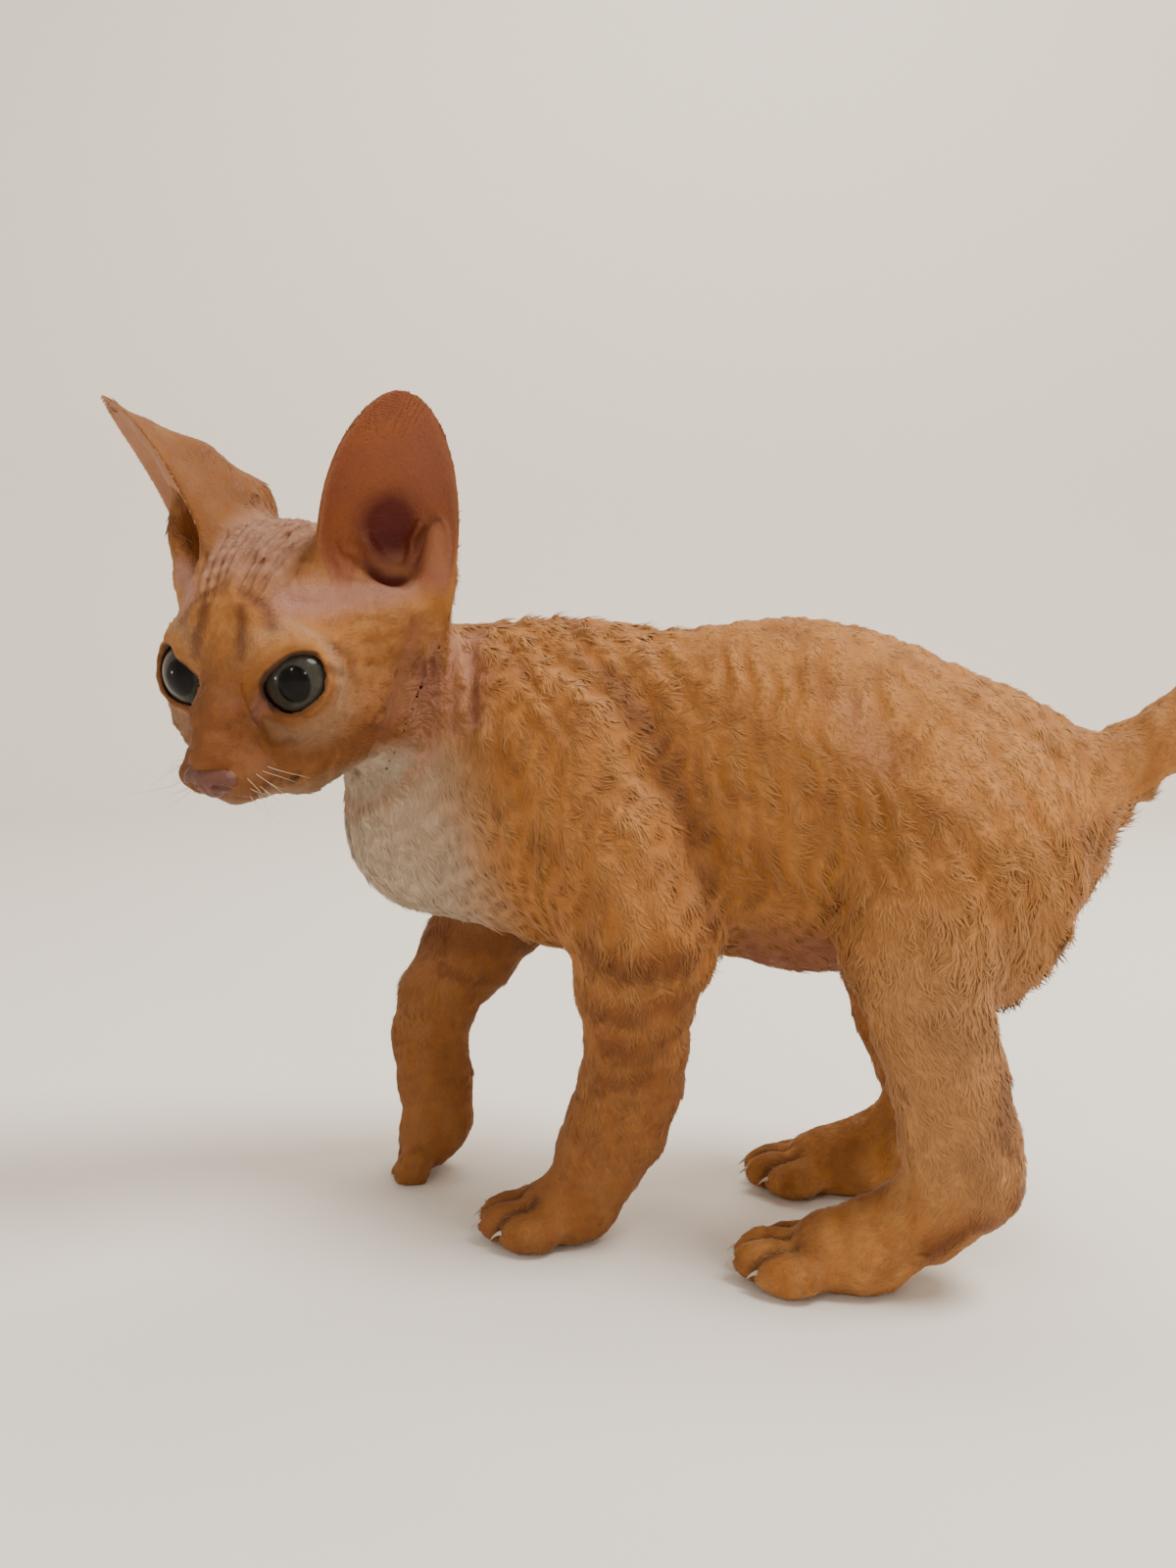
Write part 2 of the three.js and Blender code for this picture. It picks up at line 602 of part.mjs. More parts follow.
function headSolid() {
  let solid = localNet(HEAD_BOX[0], HEAD_BOX[1], HEAD_STEP).intersect(inside('head'));
  for (const side of ['left', 'right']) {
    solid = solid.subtract(lidOpening(side)).add(lidRing(side)).subtract(eyeSolid(side, EYE_RADIUS + GAP));
    solid = solid.subtract(earSolid(side, GAP));
  }
  solid = solid.add(tube(LIP.map(onSkin), LIP_RADIUS));
  return largest(solid.subtract(tube(MOUTH.map(onSkin), MOUTH_RADIUS)).subtract(noseRegion(GAP)));
}

function noseSolid() {
  let solid = localNet([-9, -42, -20], [9, -24, 4], 1.4).intersect(noseRegion(0));
  for (const s of [1, -1]) {
    const nostril = NOSTRIL.map(([x, y, z]) => toWorld(HEAD, [s * x, y, z]));
    solid = solid.subtract(tube(nostril, NOSTRIL_RADIUS));
  }
  return largest(solid);
}

// Line of the mouth from corner to corner, the lip below it, and a nostril, in the head's frame
const MOUTH_HALF = [[0, -32.6, -17.2], [4, -31.6, -17.8], [8.6, -27, -16.8], [11.8, -20.5, -15.6], [14, -15, -13.6]];
const bothSides = (half) => [...half.slice(1).reverse().map(([x, y, z]) => [-x, y, z]), ...half];
const MOUTH = bothSides(MOUTH_HALF);
const MOUTH_RADIUS = 0.8;
const LIP = bothSides(MOUTH_HALF.map(([x, y, z]) => [x * 0.96, y + 0.6, z - 1.7]));
const LIP_RADIUS = 1.1;
const NOSTRIL = [[2.6, -35.6, -12], [4.4, -34.2, -12.4], [5.8, -32.6, -13.2]];
const NOSTRIL_RADIUS = 0.8;
const TUBE_SIDES = 6;

function onSkin(point) {
  const spot = toWorld(HEAD, point);
  drawOnTo(skin, spot, 10);
  return spot;
}

// A round-ended tube through points
function tube(spots, radius) {
  const positions = [];
  const last = spots.length - 1;
  spots.forEach((spot, i) => {
    const way = vec(0, 0, 0).subVectors(spots[Math.min(i + 1, last)], spots[Math.max(i - 1, 0)]).normalize();
    const side = vec(0.3, 0.2, 1).cross(way).normalize();
    const up = vec(0, 0, 0).crossVectors(way, side);
    const size = i === 0 || i === last ? radius * 0.5 : radius;
    for (let j = 0; j < TUBE_SIDES; j++) {
      const angle = (j / TUBE_SIDES) * 2 * Math.PI;
      const rim = spot.clone().addScaledVector(side, size * Math.cos(angle));
      positions.push(...rim.addScaledVector(up, size * Math.sin(angle)).toArray());
    }
  });
  const triangles = ringTriangles(spots.length, TUBE_SIDES).slice(0, last * TUBE_SIDES * 6);
  const end = last * TUBE_SIDES;
  for (let j = 1; j < TUBE_SIDES - 1; j++) triangles.push(0, j + 1, j, end, end + j, end + j + 1);
  return outward(positions, triangles);
}

// Ear: a curved sheet round an upright axis, cut to a rounded outline, its root set in a groove of the skull
const EARS = {
  left: { root: [18, 11, 2], tip: [35, 8, 57.5], turn: 38 },
  right: { root: [9.5, 14, 4], tip: [42.5, 14, 56.5], turn: 46 },
};
const EAR_DEPTH = 9;
const EAR_BULGE = 4;
const EAR_SINK = 1.2;
const EAR_GROOVE = 0.06;
const EAR_MARGIN_FEET = { medial: 0.5, lateral: 0.2 };
const EAR_ROWS = 7;
const EAR_COLUMNS = 12;

const earRadius = (t) => 13.5 + 3 * t + 6 * t ** 3;
const earSpan = (t) => EAR_HALF_SPAN * (1 - t) ** 0.52;
const earThickness = (t) => mix(2.2, 1.1, t);

function earPoint(side, face, s, t, grow = 0) {
  const { root, tip, turn: degrees } = EARS[side];
  const axis = vec(...tip).sub(vec(...root));
  const height = axis.length();
  axis.normalize();
  const turn = radians(degrees);
  const gaze = vec(Math.sin(turn), -Math.cos(turn), 0);
  gaze.addScaledVector(axis, -gaze.dot(axis)).normalize();
  const across = vec(0, 0, 0).crossVectors(axis, gaze);
  const radius = earRadius(t);
  const angle = s * (earSpan(t) + grow) / radius;
  const far = radius + face * (earThickness(t) / 2 + grow);
  const spot = vec(...root).addScaledVector(axis, t * height);
  spot.addScaledVector(across, far * Math.sin(angle));
  const sunk = EAR_DEPTH * (1 - t) + EAR_BULGE * Math.sin(Math.PI * t);
  spot.addScaledVector(gaze, radius - far * Math.cos(angle) - sunk);
  if (side === 'right') spot.x = -spot.x;
  return spot.applyMatrix4(HEAD.matrix);
}

// The height at which a line of the ear, followed down, has sunk into the skull
function earFoot(side, face, s) {
  const depth = (t) => -skin(earPoint(side, face, s, t)) - EAR_SINK;
  let low = (s < 0 ? EAR_MARGIN_FEET.medial : EAR_MARGIN_FEET.lateral) * s ** 4;
  for (let t = low; t <= 0.8; t += 0.01) if (depth(t) > 0) low = t;
  let high = low + 0.01;
  for (let round = 0; round < 20; round++) {
    const middle = (low + high) / 2;
    if (depth(middle) > 0) low = middle;
    else high = middle;
  }
  return high;
}

function earSolid(side, grow = 0) {
  const positions = [];
  const grid = [-1, 1].map((face) => {
    const rows = [];
    for (let j = 0; j <= EAR_COLUMNS; j++) {
      const s = (2 * j) / EAR_COLUMNS - 1;
      const foot = earFoot(side, face, s) - grow * EAR_GROOVE;
      for (let i = 0; i <= EAR_ROWS; i++) {
        const t = mix(foot, 0.985, (i / EAR_ROWS) ** 0.85);
        rows.push(positions.length / 3);
        positions.push(...earPoint(side, face, s, t, grow).toArray());
      }
    }
    return rows;
  });
  const triangles = [];
  const at = (face, i, j) => grid[face][j * (EAR_ROWS + 1) + i];
  const quad = (a, b, c, d) => triangles.push(a, b, c, a, c, d);
  for (let j = 0; j < EAR_COLUMNS; j++) {
    for (let i = 0; i < EAR_ROWS; i++) {
      quad(at(1, i, j), at(1, i, j + 1), at(1, i + 1, j + 1), at(1, i + 1, j));
      quad(at(0, i + 1, j), at(0, i + 1, j + 1), at(0, i, j + 1), at(0, i, j));
    }
    quad(at(0, 0, j), at(0, 0, j + 1), at(1, 0, j + 1), at(1, 0, j));
    quad(at(1, EAR_ROWS, j), at(1, EAR_ROWS, j + 1), at(0, EAR_ROWS, j + 1), at(0, EAR_ROWS, j));
  }
  for (let i = 0; i < EAR_ROWS; i++) {
    quad(at(0, i, 0), at(1, i, 0), at(1, i + 1, 0), at(0, i + 1, 0));
    quad(at(1, i, EAR_COLUMNS), at(0, i, EAR_COLUMNS), at(0, i + 1, EAR_COLUMNS), at(1, i + 1, EAR_COLUMNS));
  }
  return outward(positions, triangles);
}

// Materials
const paint = (color, roughness) => new THREE.MeshStandardMaterial({ color, roughness, metalness: 0 });
const COAT = [0xd09a5c, 0.85];
const LEATHER = [0xb9766a, 0.6];
const GLASS = [0x4d5a58, 0.08];

const PARTS = [
  ['head', headSolid, COAT],
  ['nose', noseSolid, LEATHER],
  ['ear_left', () => largest(earSolid('left').intersect(inside('head'))), COAT],
  ['ear_right', () => largest(earSolid('right').intersect(inside('head'))), COAT],
  ['eye_left', () => eyeSolid('left', EYE_RADIUS), GLASS],
  ['eye_right', () => eyeSolid('right', EYE_RADIUS), GLASS],
  ['neck', () => flesh('neck', ['head']), COAT],
  ['torso', () => flesh('torso', ['neck', 'tail', 'foreleg_left', 'foreleg_right', 'hindleg_left',
    'hindleg_right']), COAT],
  ['foreleg_left', () => flesh('foreleg_left', ['forepaw_left']), COAT],
  ['foreleg_right', () => flesh('foreleg_right', ['forepaw_right']), COAT],
  ['hindleg_left', () => flesh('hindleg_left', ['hindpaw_left']), COAT],
  ['hindleg_right', () => flesh('hindleg_right', ['hindpaw_right']), COAT],
  ['forepaw_left', () => flesh('forepaw_left', []), COAT],
  ['forepaw_right', () => flesh('forepaw_right', []), COAT],
  ['hindpaw_left', () => flesh('hindpaw_left', []), COAT],
  ['hindpaw_right', () => flesh('hindpaw_right', []), COAT],
  ['tail', () => flesh('tail', []), COAT],
];

const kitten = new THREE.Group();
for (const [name, make, [color, roughness]] of PARTS) {
  const mesh = new THREE.Mesh(geometryOf(make()), paint(color, roughness));
  mesh.name = name;
  kitten.add(mesh);
}

// The origin is the middle of the box, on the floor
const box = new THREE.Box3().setFromObject(kitten);
kitten.position.set(-(box.min.x + box.max.x) / 2, -(box.min.y + box.max.y) / 2, -box.min.z);
kitten.updateMatrixWorld(true);

export default kitten;
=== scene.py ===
"""A devon rex kitten, life size and still, as a museum shows it.

It has a skin, a curly coat, eyes, a nose, claws and whiskers. The skin is one smooth field of blended masses,
in millimetres, with +Z up, the body along -Y and its left side towards +X. It lies inside the solids by the
depth of the coat, and the tufts of the coat stand on it.
"""

import math

import bpy
import numpy as np
from mathutils import Matrix, Vector


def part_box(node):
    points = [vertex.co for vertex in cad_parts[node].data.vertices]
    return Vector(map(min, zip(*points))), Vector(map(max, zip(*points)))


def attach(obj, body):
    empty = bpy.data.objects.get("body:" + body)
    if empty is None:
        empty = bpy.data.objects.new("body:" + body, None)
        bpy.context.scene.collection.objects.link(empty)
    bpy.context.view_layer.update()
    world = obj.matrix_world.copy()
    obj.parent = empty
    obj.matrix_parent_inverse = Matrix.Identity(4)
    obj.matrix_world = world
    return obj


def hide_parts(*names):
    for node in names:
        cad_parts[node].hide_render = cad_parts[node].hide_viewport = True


bl_info = {
    "name": "Devon rex kitten",
    "version": (1, 0, 0),
    "blender": (4, 5, 0),
    "location": "3D view > Sidebar > Kitten",
    "description": "Builds the skin, coat, eyes, nose, claws and whiskers of a devon rex kitten",
    "category": "Object",
}

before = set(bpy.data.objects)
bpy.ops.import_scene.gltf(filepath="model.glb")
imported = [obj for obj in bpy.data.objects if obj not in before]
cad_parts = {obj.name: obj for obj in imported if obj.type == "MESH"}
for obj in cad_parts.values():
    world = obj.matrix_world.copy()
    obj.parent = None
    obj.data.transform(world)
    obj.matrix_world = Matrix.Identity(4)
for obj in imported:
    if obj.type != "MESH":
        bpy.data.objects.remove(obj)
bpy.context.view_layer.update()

MM = 0.001
SEED = 20
BODY = "root"
# A distance greater than any in the kitten, in millimetres
FAR = 1e3

# Blending and masses of the field


def soft_min(a, b, width):
    """The lesser of two distances, blended over a width."""
    near = np.maximum(width - np.abs(a - b), 0) / width
    return np.minimum(a, b) - near * near * width / 4


def soft_max(a, b, width):
    """The greater of two distances, blended over a width."""
    return -soft_min(-a, -b, width)


def length_of(v):
    """Lengths of rows."""
    return np.sqrt(np.einsum("ij,ij->i", v, v))


def unit(v):
    """Rows made one long."""
    return v / np.maximum(length_of(v), 1e-9)[:, None]


def step_up(value, low, high):
    """A smooth rise from 0 to 1 between two values."""
    t = np.clip((value - low) / (high - low), 0, 1)
    return t * t * (3 - 2 * t)


def step_down(value, low, high):
    """A smooth fall from 1 to 0 between two values."""
    return step_up(-value, -high, -low)


def most(*masks):
    """The greatest of several masks at each point."""
    return np.maximum.reduce(masks)


def turn(yaw, pitch=0.0, roll=0.0):
    """The matrix of a turn about Z, after X, after Y, in degrees."""
    spin = Matrix.Rotation(math.radians(yaw), 3, "Z") @ Matrix.Rotation(math.radians(pitch), 3, "X")
    return np.array(spin @ Matrix.Rotation(math.radians(roll), 3, "Y"))


class Place:
    """A frame in the kitten: its origin and its turn."""

    def __init__(self, origin, yaw=0.0, pitch=0.0, roll=0.0):
        self.origin = np.array(origin, dtype=float)
        self.spin = turn(yaw, pitch, roll)

    def local(self, p):
        return (p - self.origin) @ self.spin

    def world(self, q):
        return self.origin + np.asarray(q, dtype=float) @ self.spin.T


def egg(centre, radii, yaw=0.0, pitch=0.0, roll=0.0):
    """The distance to an egg-shaped mass."""
    at = Place(centre, yaw, pitch, roll)
    size = np.array(radii, dtype=float)

    def distance(p):
        q = at.local(p) / size
        near = length_of(q)
        slope = length_of(q / size)
        return near * (near - 1) / np.maximum(slope, 1e-6)

    return distance


def links(joints, p):
    """Each link of a chain: its ends, its run, and the points' share along it and way from it."""
    for a, b in zip(joints, joints[1:]):
        start = np.array(a[:3], dtype=float)
        along = np.array(b[:3], dtype=float) - start
        away = p - start
        t = np.clip(away @ along / (along @ along), 0, 1)
        yield a, b, along, t, away - t[:, None] * along


def limb(joints, blend=2.0, flat=1.0):
    """The distance to a chain of joints of (x, y, z, radius), flattened sideways by its width factor."""

    def distance(p):
        whole = np.full(len(p), FAR)
        for a, b, _, t, away in links(joints, p):
            away[:, 0] /= flat
            whole = soft_min(whole, length_of(away) - (a[3] + (b[3] - a[3]) * t), blend)
        return whole

    return distance


def blended(masses, p):
    """Masses of (distance, width), each blended in over its width."""
    whole = np.full(len(p), FAR)
    for mass, width in masses:
        whole = soft_min(whole, mass(p), width)
    return whole


def stroke(points, p):
    """The distance of points from a line drawn through a few spots."""
    best = np.full(len(p), FAR)
    for *_, away in links(points, p):
        best = np.minimum(best, length_of(away))
    return best


def brush(strokes, width, p):
    """1 on drawn lines, fading to 0 over a width to each side."""
    mask = np.zeros(len(p))
    for points in strokes:
        mask = np.maximum(mask, np.exp(-((stroke(points, p) / width) ** 2)))
    return mask


def swell(p, size, seed, octaves=2):
    """Smooth noise from about -1 to 1: waves in seeded directions, with their crests a size apart."""
    chance = np.random.default_rng(seed)
    whole = np.zeros(len(p))
    for octave in range(octaves):
        for _ in range(7):
            way = chance.normal(size=3)
            way *= 2 * math.pi / (size * np.linalg.norm(way)) * (1.9**octave)
            whole += np.sin(p @ way + chance.uniform(0, 2 * math.pi)) * 0.38 / (1.8**octave)
    return whole


# The trunk, legs, paws and tail, the same masses as the solids

# Stations of (y, x, top, bottom, half width)
TRUNK = np.array(
    [
        (-64, 1, 128, 78, 19),
        (-46, 0, 138, 69, 24),
        (-30, -2, 141.5, 63.5, 26.5),
        (-9, -4, 139, 62, 27.5),
        (12, -4, 142, 62.5, 28.5),
        (28, -4, 143, 59.5, 28.5),
        (44, -4, 140, 61, 27),
        (60, -4, 133.5, 68, 25),
        (78, -4, 122.5, 75, 20),
        (90, -4, 112, 82, 13),
    ]
)
WIDEST = 0.52


def faired(table, spacing=0.5):
    """Stations joined by smooth curves and read off at an even spacing."""
    y = table[:, 0]
    rise = np.empty((len(y), table.shape[1] - 1))
    rise[1:-1] = (table[2:, 1:] - table[:-2, 1:]) / (y[2:] - y[:-2])[:, None]
    rise[0] = (table[1, 1:] - table[0, 1:]) / (y[1] - y[0])
    rise[-1] = (table[-1, 1:] - table[-2, 1:]) / (y[-1] - y[-2])
    fine = np.arange(y[0], y[-1] + spacing, spacing)
    i = np.clip(np.searchsorted(y, fine) - 1, 0, len(y) - 2)
    span = (y[i + 1] - y[i])[:, None]
    t = np.clip((fine - y[i])[:, None] / span, 0, 1)
    h00 = (1 + 2 * t) * (1 - t) ** 2
    h01 = t * t * (3 - 2 * t)
    curve = h00 * table[i, 1:] + t * (1 - t) ** 2 * span * rise[i]
    return fine, curve + h01 * table[i + 1, 1:] + t * t * (t - 1) * span * rise[i + 1]


STATION_Y, STATION = faired(TRUNK)


def trunk(p):
    """The distance to the loft of egg-shaped sections."""
    x, top, bottom, half = (np.interp(p[:, 1], STATION_Y, STATION[:, c]) for c in range(4))
    middle = bottom + (top - bottom) * WIDEST
    tall = np.where(p[:, 2] > middle, top - middle, middle - bottom)
    u = (p[:, 0] - x) / half
    v = (p[:, 2] - middle) / tall
    near = np.hypot(u, v)
    section = near * (near - 1) / np.maximum(np.hypot(u / half, v / tall), 1e-6)
    ends = np.maximum(TRUNK[0, 0] - p[:, 1], p[:, 1] - TRUNK[-1, 0])
    return soft_max(section, ends, 8)


NECK = [(-1, -44, 117, 24), (1, -62, 123, 18.5), (10, -77, 129, 17)]
TRUNK_MASSES = [
    (egg((4, -59, 95), (19, 21, 22)), 12),
    (egg((-4, 71, 97), (22, 25, 26)), 12),
    (limb(NECK, 8), 12),
    (egg((19, -22, 98), (11, 21, 31), 0, 22), 9),
    (egg((-21, -34, 98), (11, 21, 31), 0, 8), 9),
    (egg((-4, -18, 131), (15, 16, 10)), 10),
]
FORELEG_LEFT = [
    (22, -10, 88, 16),
    (24, -2, 72, 16.2),
    (22, -5, 61, 14),
    (21, -5, 48, 11.9),
    (19, -6.5, 39, 11.6),
    (18, -10, 28, 11.3),
    (17, -14, 20, 10.2),
    (17, -17, 12, 9),
]
FORELEG_RIGHT = [
    (-22, -36, 88, 16),
    (-22, -48, 72, 16),
    (-21, -57, 58, 13.2),
    (-20, -65, 46, 11),
    (-19, -67.5, 35, 10.1),
    (-17.5, -65.5, 24, 9.8),
    (-16, -64, 15, 9.4),
]
HINDLEG_LEFT = [
    (17, 62, 92, 18),
    (24, 54, 72, 16.5),
    (27, 57, 58, 12.8),
    (26, 60.5, 46, 12),
    (25.5, 63, 33, 12),
    (25, 65, 25, 9.8),
]
HINDLEG_RIGHT = [
    (-23, 60, 92, 18),
    (-28, 50, 72, 16.5),
    (-28, 51, 58, 12.8),
    (-27.5, 54, 46, 12.1),
    (-27, 59.5, 33, 11.6),
    (-27, 62, 25, 10),
]
METATARSUS_LEFT = [(25, 65.5, 25.5, 9.8), (25.5, 57, 16.5, 9.1), (26, 46, 10, 8.7), (26, 38, 8, 7.6)]
METATARSUS_RIGHT = [(-27, 63, 23, 9.8), (-26.5, 54, 14.5, 9.2), (-26, 44, 9.2, 8.6), (-25, 36, 7.6, 7.4)]
TAIL = [
    (-4, 84, 100, 11),
    (-4.5, 98, 108, 8.8),
    (-5.5, 114, 119.5, 8.2),
    (-7, 136, 136, 7),
    (-10, 155, 153, 5.8),
    (-13, 169, 171, 4.6),
    (-15, 177, 187, 3.2),
    (-15.5, 179, 192, 2.2),
]

# A paw in its own frame: the toes towards -Y, the sole at z 0
TOES = [(-8.0, -8.0, 4.4), (-3.1, -12.6, 5.0), (3.1, -12.6, 5.0), (8.0, -8.0, 4.4)]
TOE_RADII = (4.2, 7.6, 4.7)
TOE_MASSES = [egg(toe, TOE_RADII, -toe[0] * 1.6, 8) for toe in TOES]
FOREPAW_LEFT = (Place((16.5, -22, 0.2), 13), ((9.2, 11, 7.8), -1, 6.4))
FOREPAW_RIGHT = (Place((-15, -60.5, 8.2), 4, 60), ((8.6, 9, 7.5), -2, 5.5))
HINDPAW_LEFT = (Place((26, 37, 0.2), 2), ((8.6, 12, 6.8), 3.5, 6.0))
HINDPAW_RIGHT = (Place((-25, 35.5, 0.2), 6), ((8.8, 13, 7.2), 3, 6.2))
PAWS = (FOREPAW_LEFT, FOREPAW_RIGHT, HINDPAW_LEFT, HINDPAW_RIGHT)
CLEFT_DEPTH = 0.7


def clefts(q, width=0.9):
    """1 in the clefts between the toes, from points in a paw's frame, fading to 0 beside and behind them."""
    reads = np.sort(np.stack([toe(q) for toe in TOE_MASSES]), axis=0)
    mask = np.exp(-(((reads[1] - reads[0]) / width) ** 2)) * step_down(reads[0], 2.2, 4)
    return mask * step_down(q[:, 1], -8, -3)


def paw(at, palm):
    """The distance to a paw: a palm and four toes with clefts between them."""
    radii, back, rise = palm
    pads = [(egg((0, back, rise), radii), 4)] + [(toe, 2.4) for toe in TOE_MASSES]

    def distance(p):
        q = at.local(p)
        return blended(pads, q) + CLEFT_DEPTH * clefts(q)

    return distance


def leg(chain, *masses):
    """The distance to a leg: its chain of joints with the masses that go with it."""
    bones = limb(chain, 2.2, 0.9)

    def distance(p):
        whole = bones(p)
        for mass in masses:
            whole = soft_min(whole, mass(p), 5)
        return whole

    return distance


LEGS = {
    "foreleg_left": (leg(FORELEG_LEFT, paw(*FOREPAW_LEFT)), (8, -50, -2), (46, 26, 112)),
    "foreleg_right": (leg(FORELEG_RIGHT, paw(*FOREPAW_RIGHT)), (-46, -92, -2), (0, -10, 112)),
    "hindleg_left": (
        leg(
            HINDLEG_LEFT,
            egg((17, 63, 84), (12, 24, 29), 0, -12),
            limb(METATARSUS_LEFT),
            paw(*HINDPAW_LEFT),
        ),
        (-6, 8, -2),
        (50, 100, 124),
    ),
    "hindleg_right": (
        leg(
            HINDLEG_RIGHT,
            egg((-25, 60, 84), (12, 24, 29), 0, -12),
            limb(METATARSUS_RIGHT),
            paw(*HINDPAW_RIGHT),
        ),
        (-54, 8, -2),
        (4, 100, 124),
    ),
}

# The head in its own frame: the nose towards -Y, the left side towards +X

HEAD = Place((29, -84, 131), 83, 25, 4)
SKULL = [
    (egg((0, 6, 8.3), (21.5, 23.5, 22.2)), 0.01),
    (egg((0, -7, 8), (16.5, 14, 13.5)), 8),
    (egg((0, -24, -9.5), (8, 10.5, 7)), 7),
    (limb([(0, -16, 7, 6.8), (0, -26, -0.5, 4.8), (0, -32, -6, 3.9)], 4), 4),
    (egg((0, -24, -17.6), (6, 6.5, 4.4)), 4),
]
for s in (1, -1):
    SKULL += [
        (egg((15.5 * s, -3, -7), (10.5, 14, 10.5)), 9),
        (limb([(16 * s, 5, -12, 8.5), (9 * s, -14, -17, 7)], 4), 8),
        (egg((5.4 * s, -27.5, -12.6), (5.6, 6.6, 5.2)), 3),
        (egg((10.5 * s, -14.5, 9.2), (7.5, 5.5, 4.6), 24 * s), 5),
        (egg((21 * s, 12, 6), (10, 9, 12), 0, 0, 18 * s), 10),
        (egg((12.4 * s, -12.4, 3), (9.1, 9.1, 9.1)), 4),
    ]
HEAD_MIDDLE = np.array([0, -4, 2])
EYE_RADIUS = 8.0
EYE_PLACE = (12.4, -12.4, 3.0)
EYE_TURN = 16.0
EYE_TILT = 8.0
LID_WIDE = 68.0
LID_HIGH = 41.0
LID_SLANT = 35.0
LID_THICK = 0.6

# Lines of the face, for the left side; the right side mirrors them
CROWN_FOLDS = [
    [(0.9, 13, 29.6), (0.6, 0, 29.8), (0.5, -9, 26)],
    [(3.8, 12, 29.4), (3, 0.5, 29.6), (1.9, -13.5, 22.7)],
    [(6.8, 9, 29), (5.4, -1, 28.4), (3.5, -15, 21.4)],
    [(9.6, 4, 27.8), (8.2, -3, 26.8), (5.6, -15.5, 20)],
    [(11.8, -2, 25.2), (10.2, -9, 22.8), (7.9, -14.5, 20)],
]
MOUTH = [(0.6, -32.6, -17.3), (4, -31, -18.9), (8.4, -25.5, -18.4), (12, -18.5, -16.2), (14, -13.5, -14)]
PHILTRUM = [(0, -35.5, -13.5), (0, -34, -17.4)]
EYE_CORNER = [(6.3, -19.3, -0.7), (4.6, -20.8, -2.7)]
CHEEK_HOLLOW = [(9, -21, -6), (14, -19, -6.5), (18, -15, -5)]


def mirrored(q):
    """Head points with the right side folded on to the left."""
    folded = q.copy()
    folded[:, 0] = np.abs(folded[:, 0])
    return folded


def lid_reach(q):
    """Where points lie round the eye opening, 1 on its rim; their distance from the eye and height in it."""
    out = q - np.array(EYE_PLACE)
    far = np.maximum(length_of(out), 1e-6)
    yaw = np.degrees(np.arctan2(out[:, 0], -out[:, 1])) - EYE_TURN
    lift = np.degrees(np.arcsin(np.clip(out[:, 2] / far, -1, 1))) - EYE_TILT
    slant = math.radians(LID_SLANT)
    across = (yaw * math.cos(slant) + lift * math.sin(slant)) / LID_WIDE
    rise = (lift * math.cos(slant) - yaw * math.sin(slant)) / LID_HIGH
    reach = (np.abs(across) ** 2.4 + np.abs(rise) ** 1.2) ** (1 / 1.5)
    return reach, far, rise


def skull(q):
    """The distance to the head without its ears, from points in the head's frame."""
    distance = blended(SKULL, q)
    near = (q[:, 1] < 18) & (np.abs(distance) < 6)
    face = mirrored(q[near])
    relief = -0.95 * brush(CROWN_FOLDS, 0.75, face)
    relief -= 0.9 * brush([MOUTH], 0.7, face)
    relief += 0.25 * brush([[(x, y, z - 2.1) for x, y, z in MOUTH]], 1.3, face)
    relief -= 0.8 * brush([PHILTRUM], 0.6, face)
    relief -= 0.5 * brush([CHEEK_HOLLOW], 2.6, face)
    relief += 0.12 * swell(face, 4.5, 3)
    distance[near] -= relief
    near = (q[:, 1] < 4) & (np.abs(distance) < 12)
    face = mirrored(q[near])
    reach, far, rise = lid_reach(face)
    open_wide = (reach - 1) * far * 0.72
    opening = soft_max(distance[near], np.minimum(-open_wide, 12.5 - far), 1.0)
    lid = np.hypot((reach - 1.06) * far * 0.72, far - EYE_RADIUS - 0.5) - LID_THICK
    above = np.hypot((reach - 1.62) * far * 0.72, far - EYE_RADIUS - 1.5) - 1.2
    closed = soft_min(soft_min(opening, lid, 2.2), above + 2.6 * step_down(rise, -0.3, 0.3), 3.0)
    closed += 1.0 * brush([EYE_CORNER], 0.9, face)
    distance[near] = np.maximum(closed, EYE_RADIUS + 0.04 - far)
    return distance


EAR_CANALS = [egg((25, 11.8, 24.8), (6, 5.2, 9.6), 0, 4, 12), egg((-22, 12, 25), (3.4, 3.6, 7), 0, 4, -12)]
# The outer pocket of each ear, and the furred bulge behind the right one
EAR_MASSES = [
    (egg((33, 17, 21), (3.0, 2.4, 7.5), 0, 0, 10), 2),
    (egg((-28.5, 15, 21.5), (4.4, 5.0, 10)), 4),
    (limb([(31, 17.5, 15, 4.0), (24.5, 17, 2, 7.5)], 6), 6),
    (limb([(-31, 16, 13, 4.0), (-24.5, 17, 2, 7.5)], 6), 6),
    (limb([(-18.5, 21, 29, 9.2), (-25.5, 18.5, 39, 5), (-33, 16, 47, 1.5)], 6), 7),
]
EAR_BLEND = 6.0


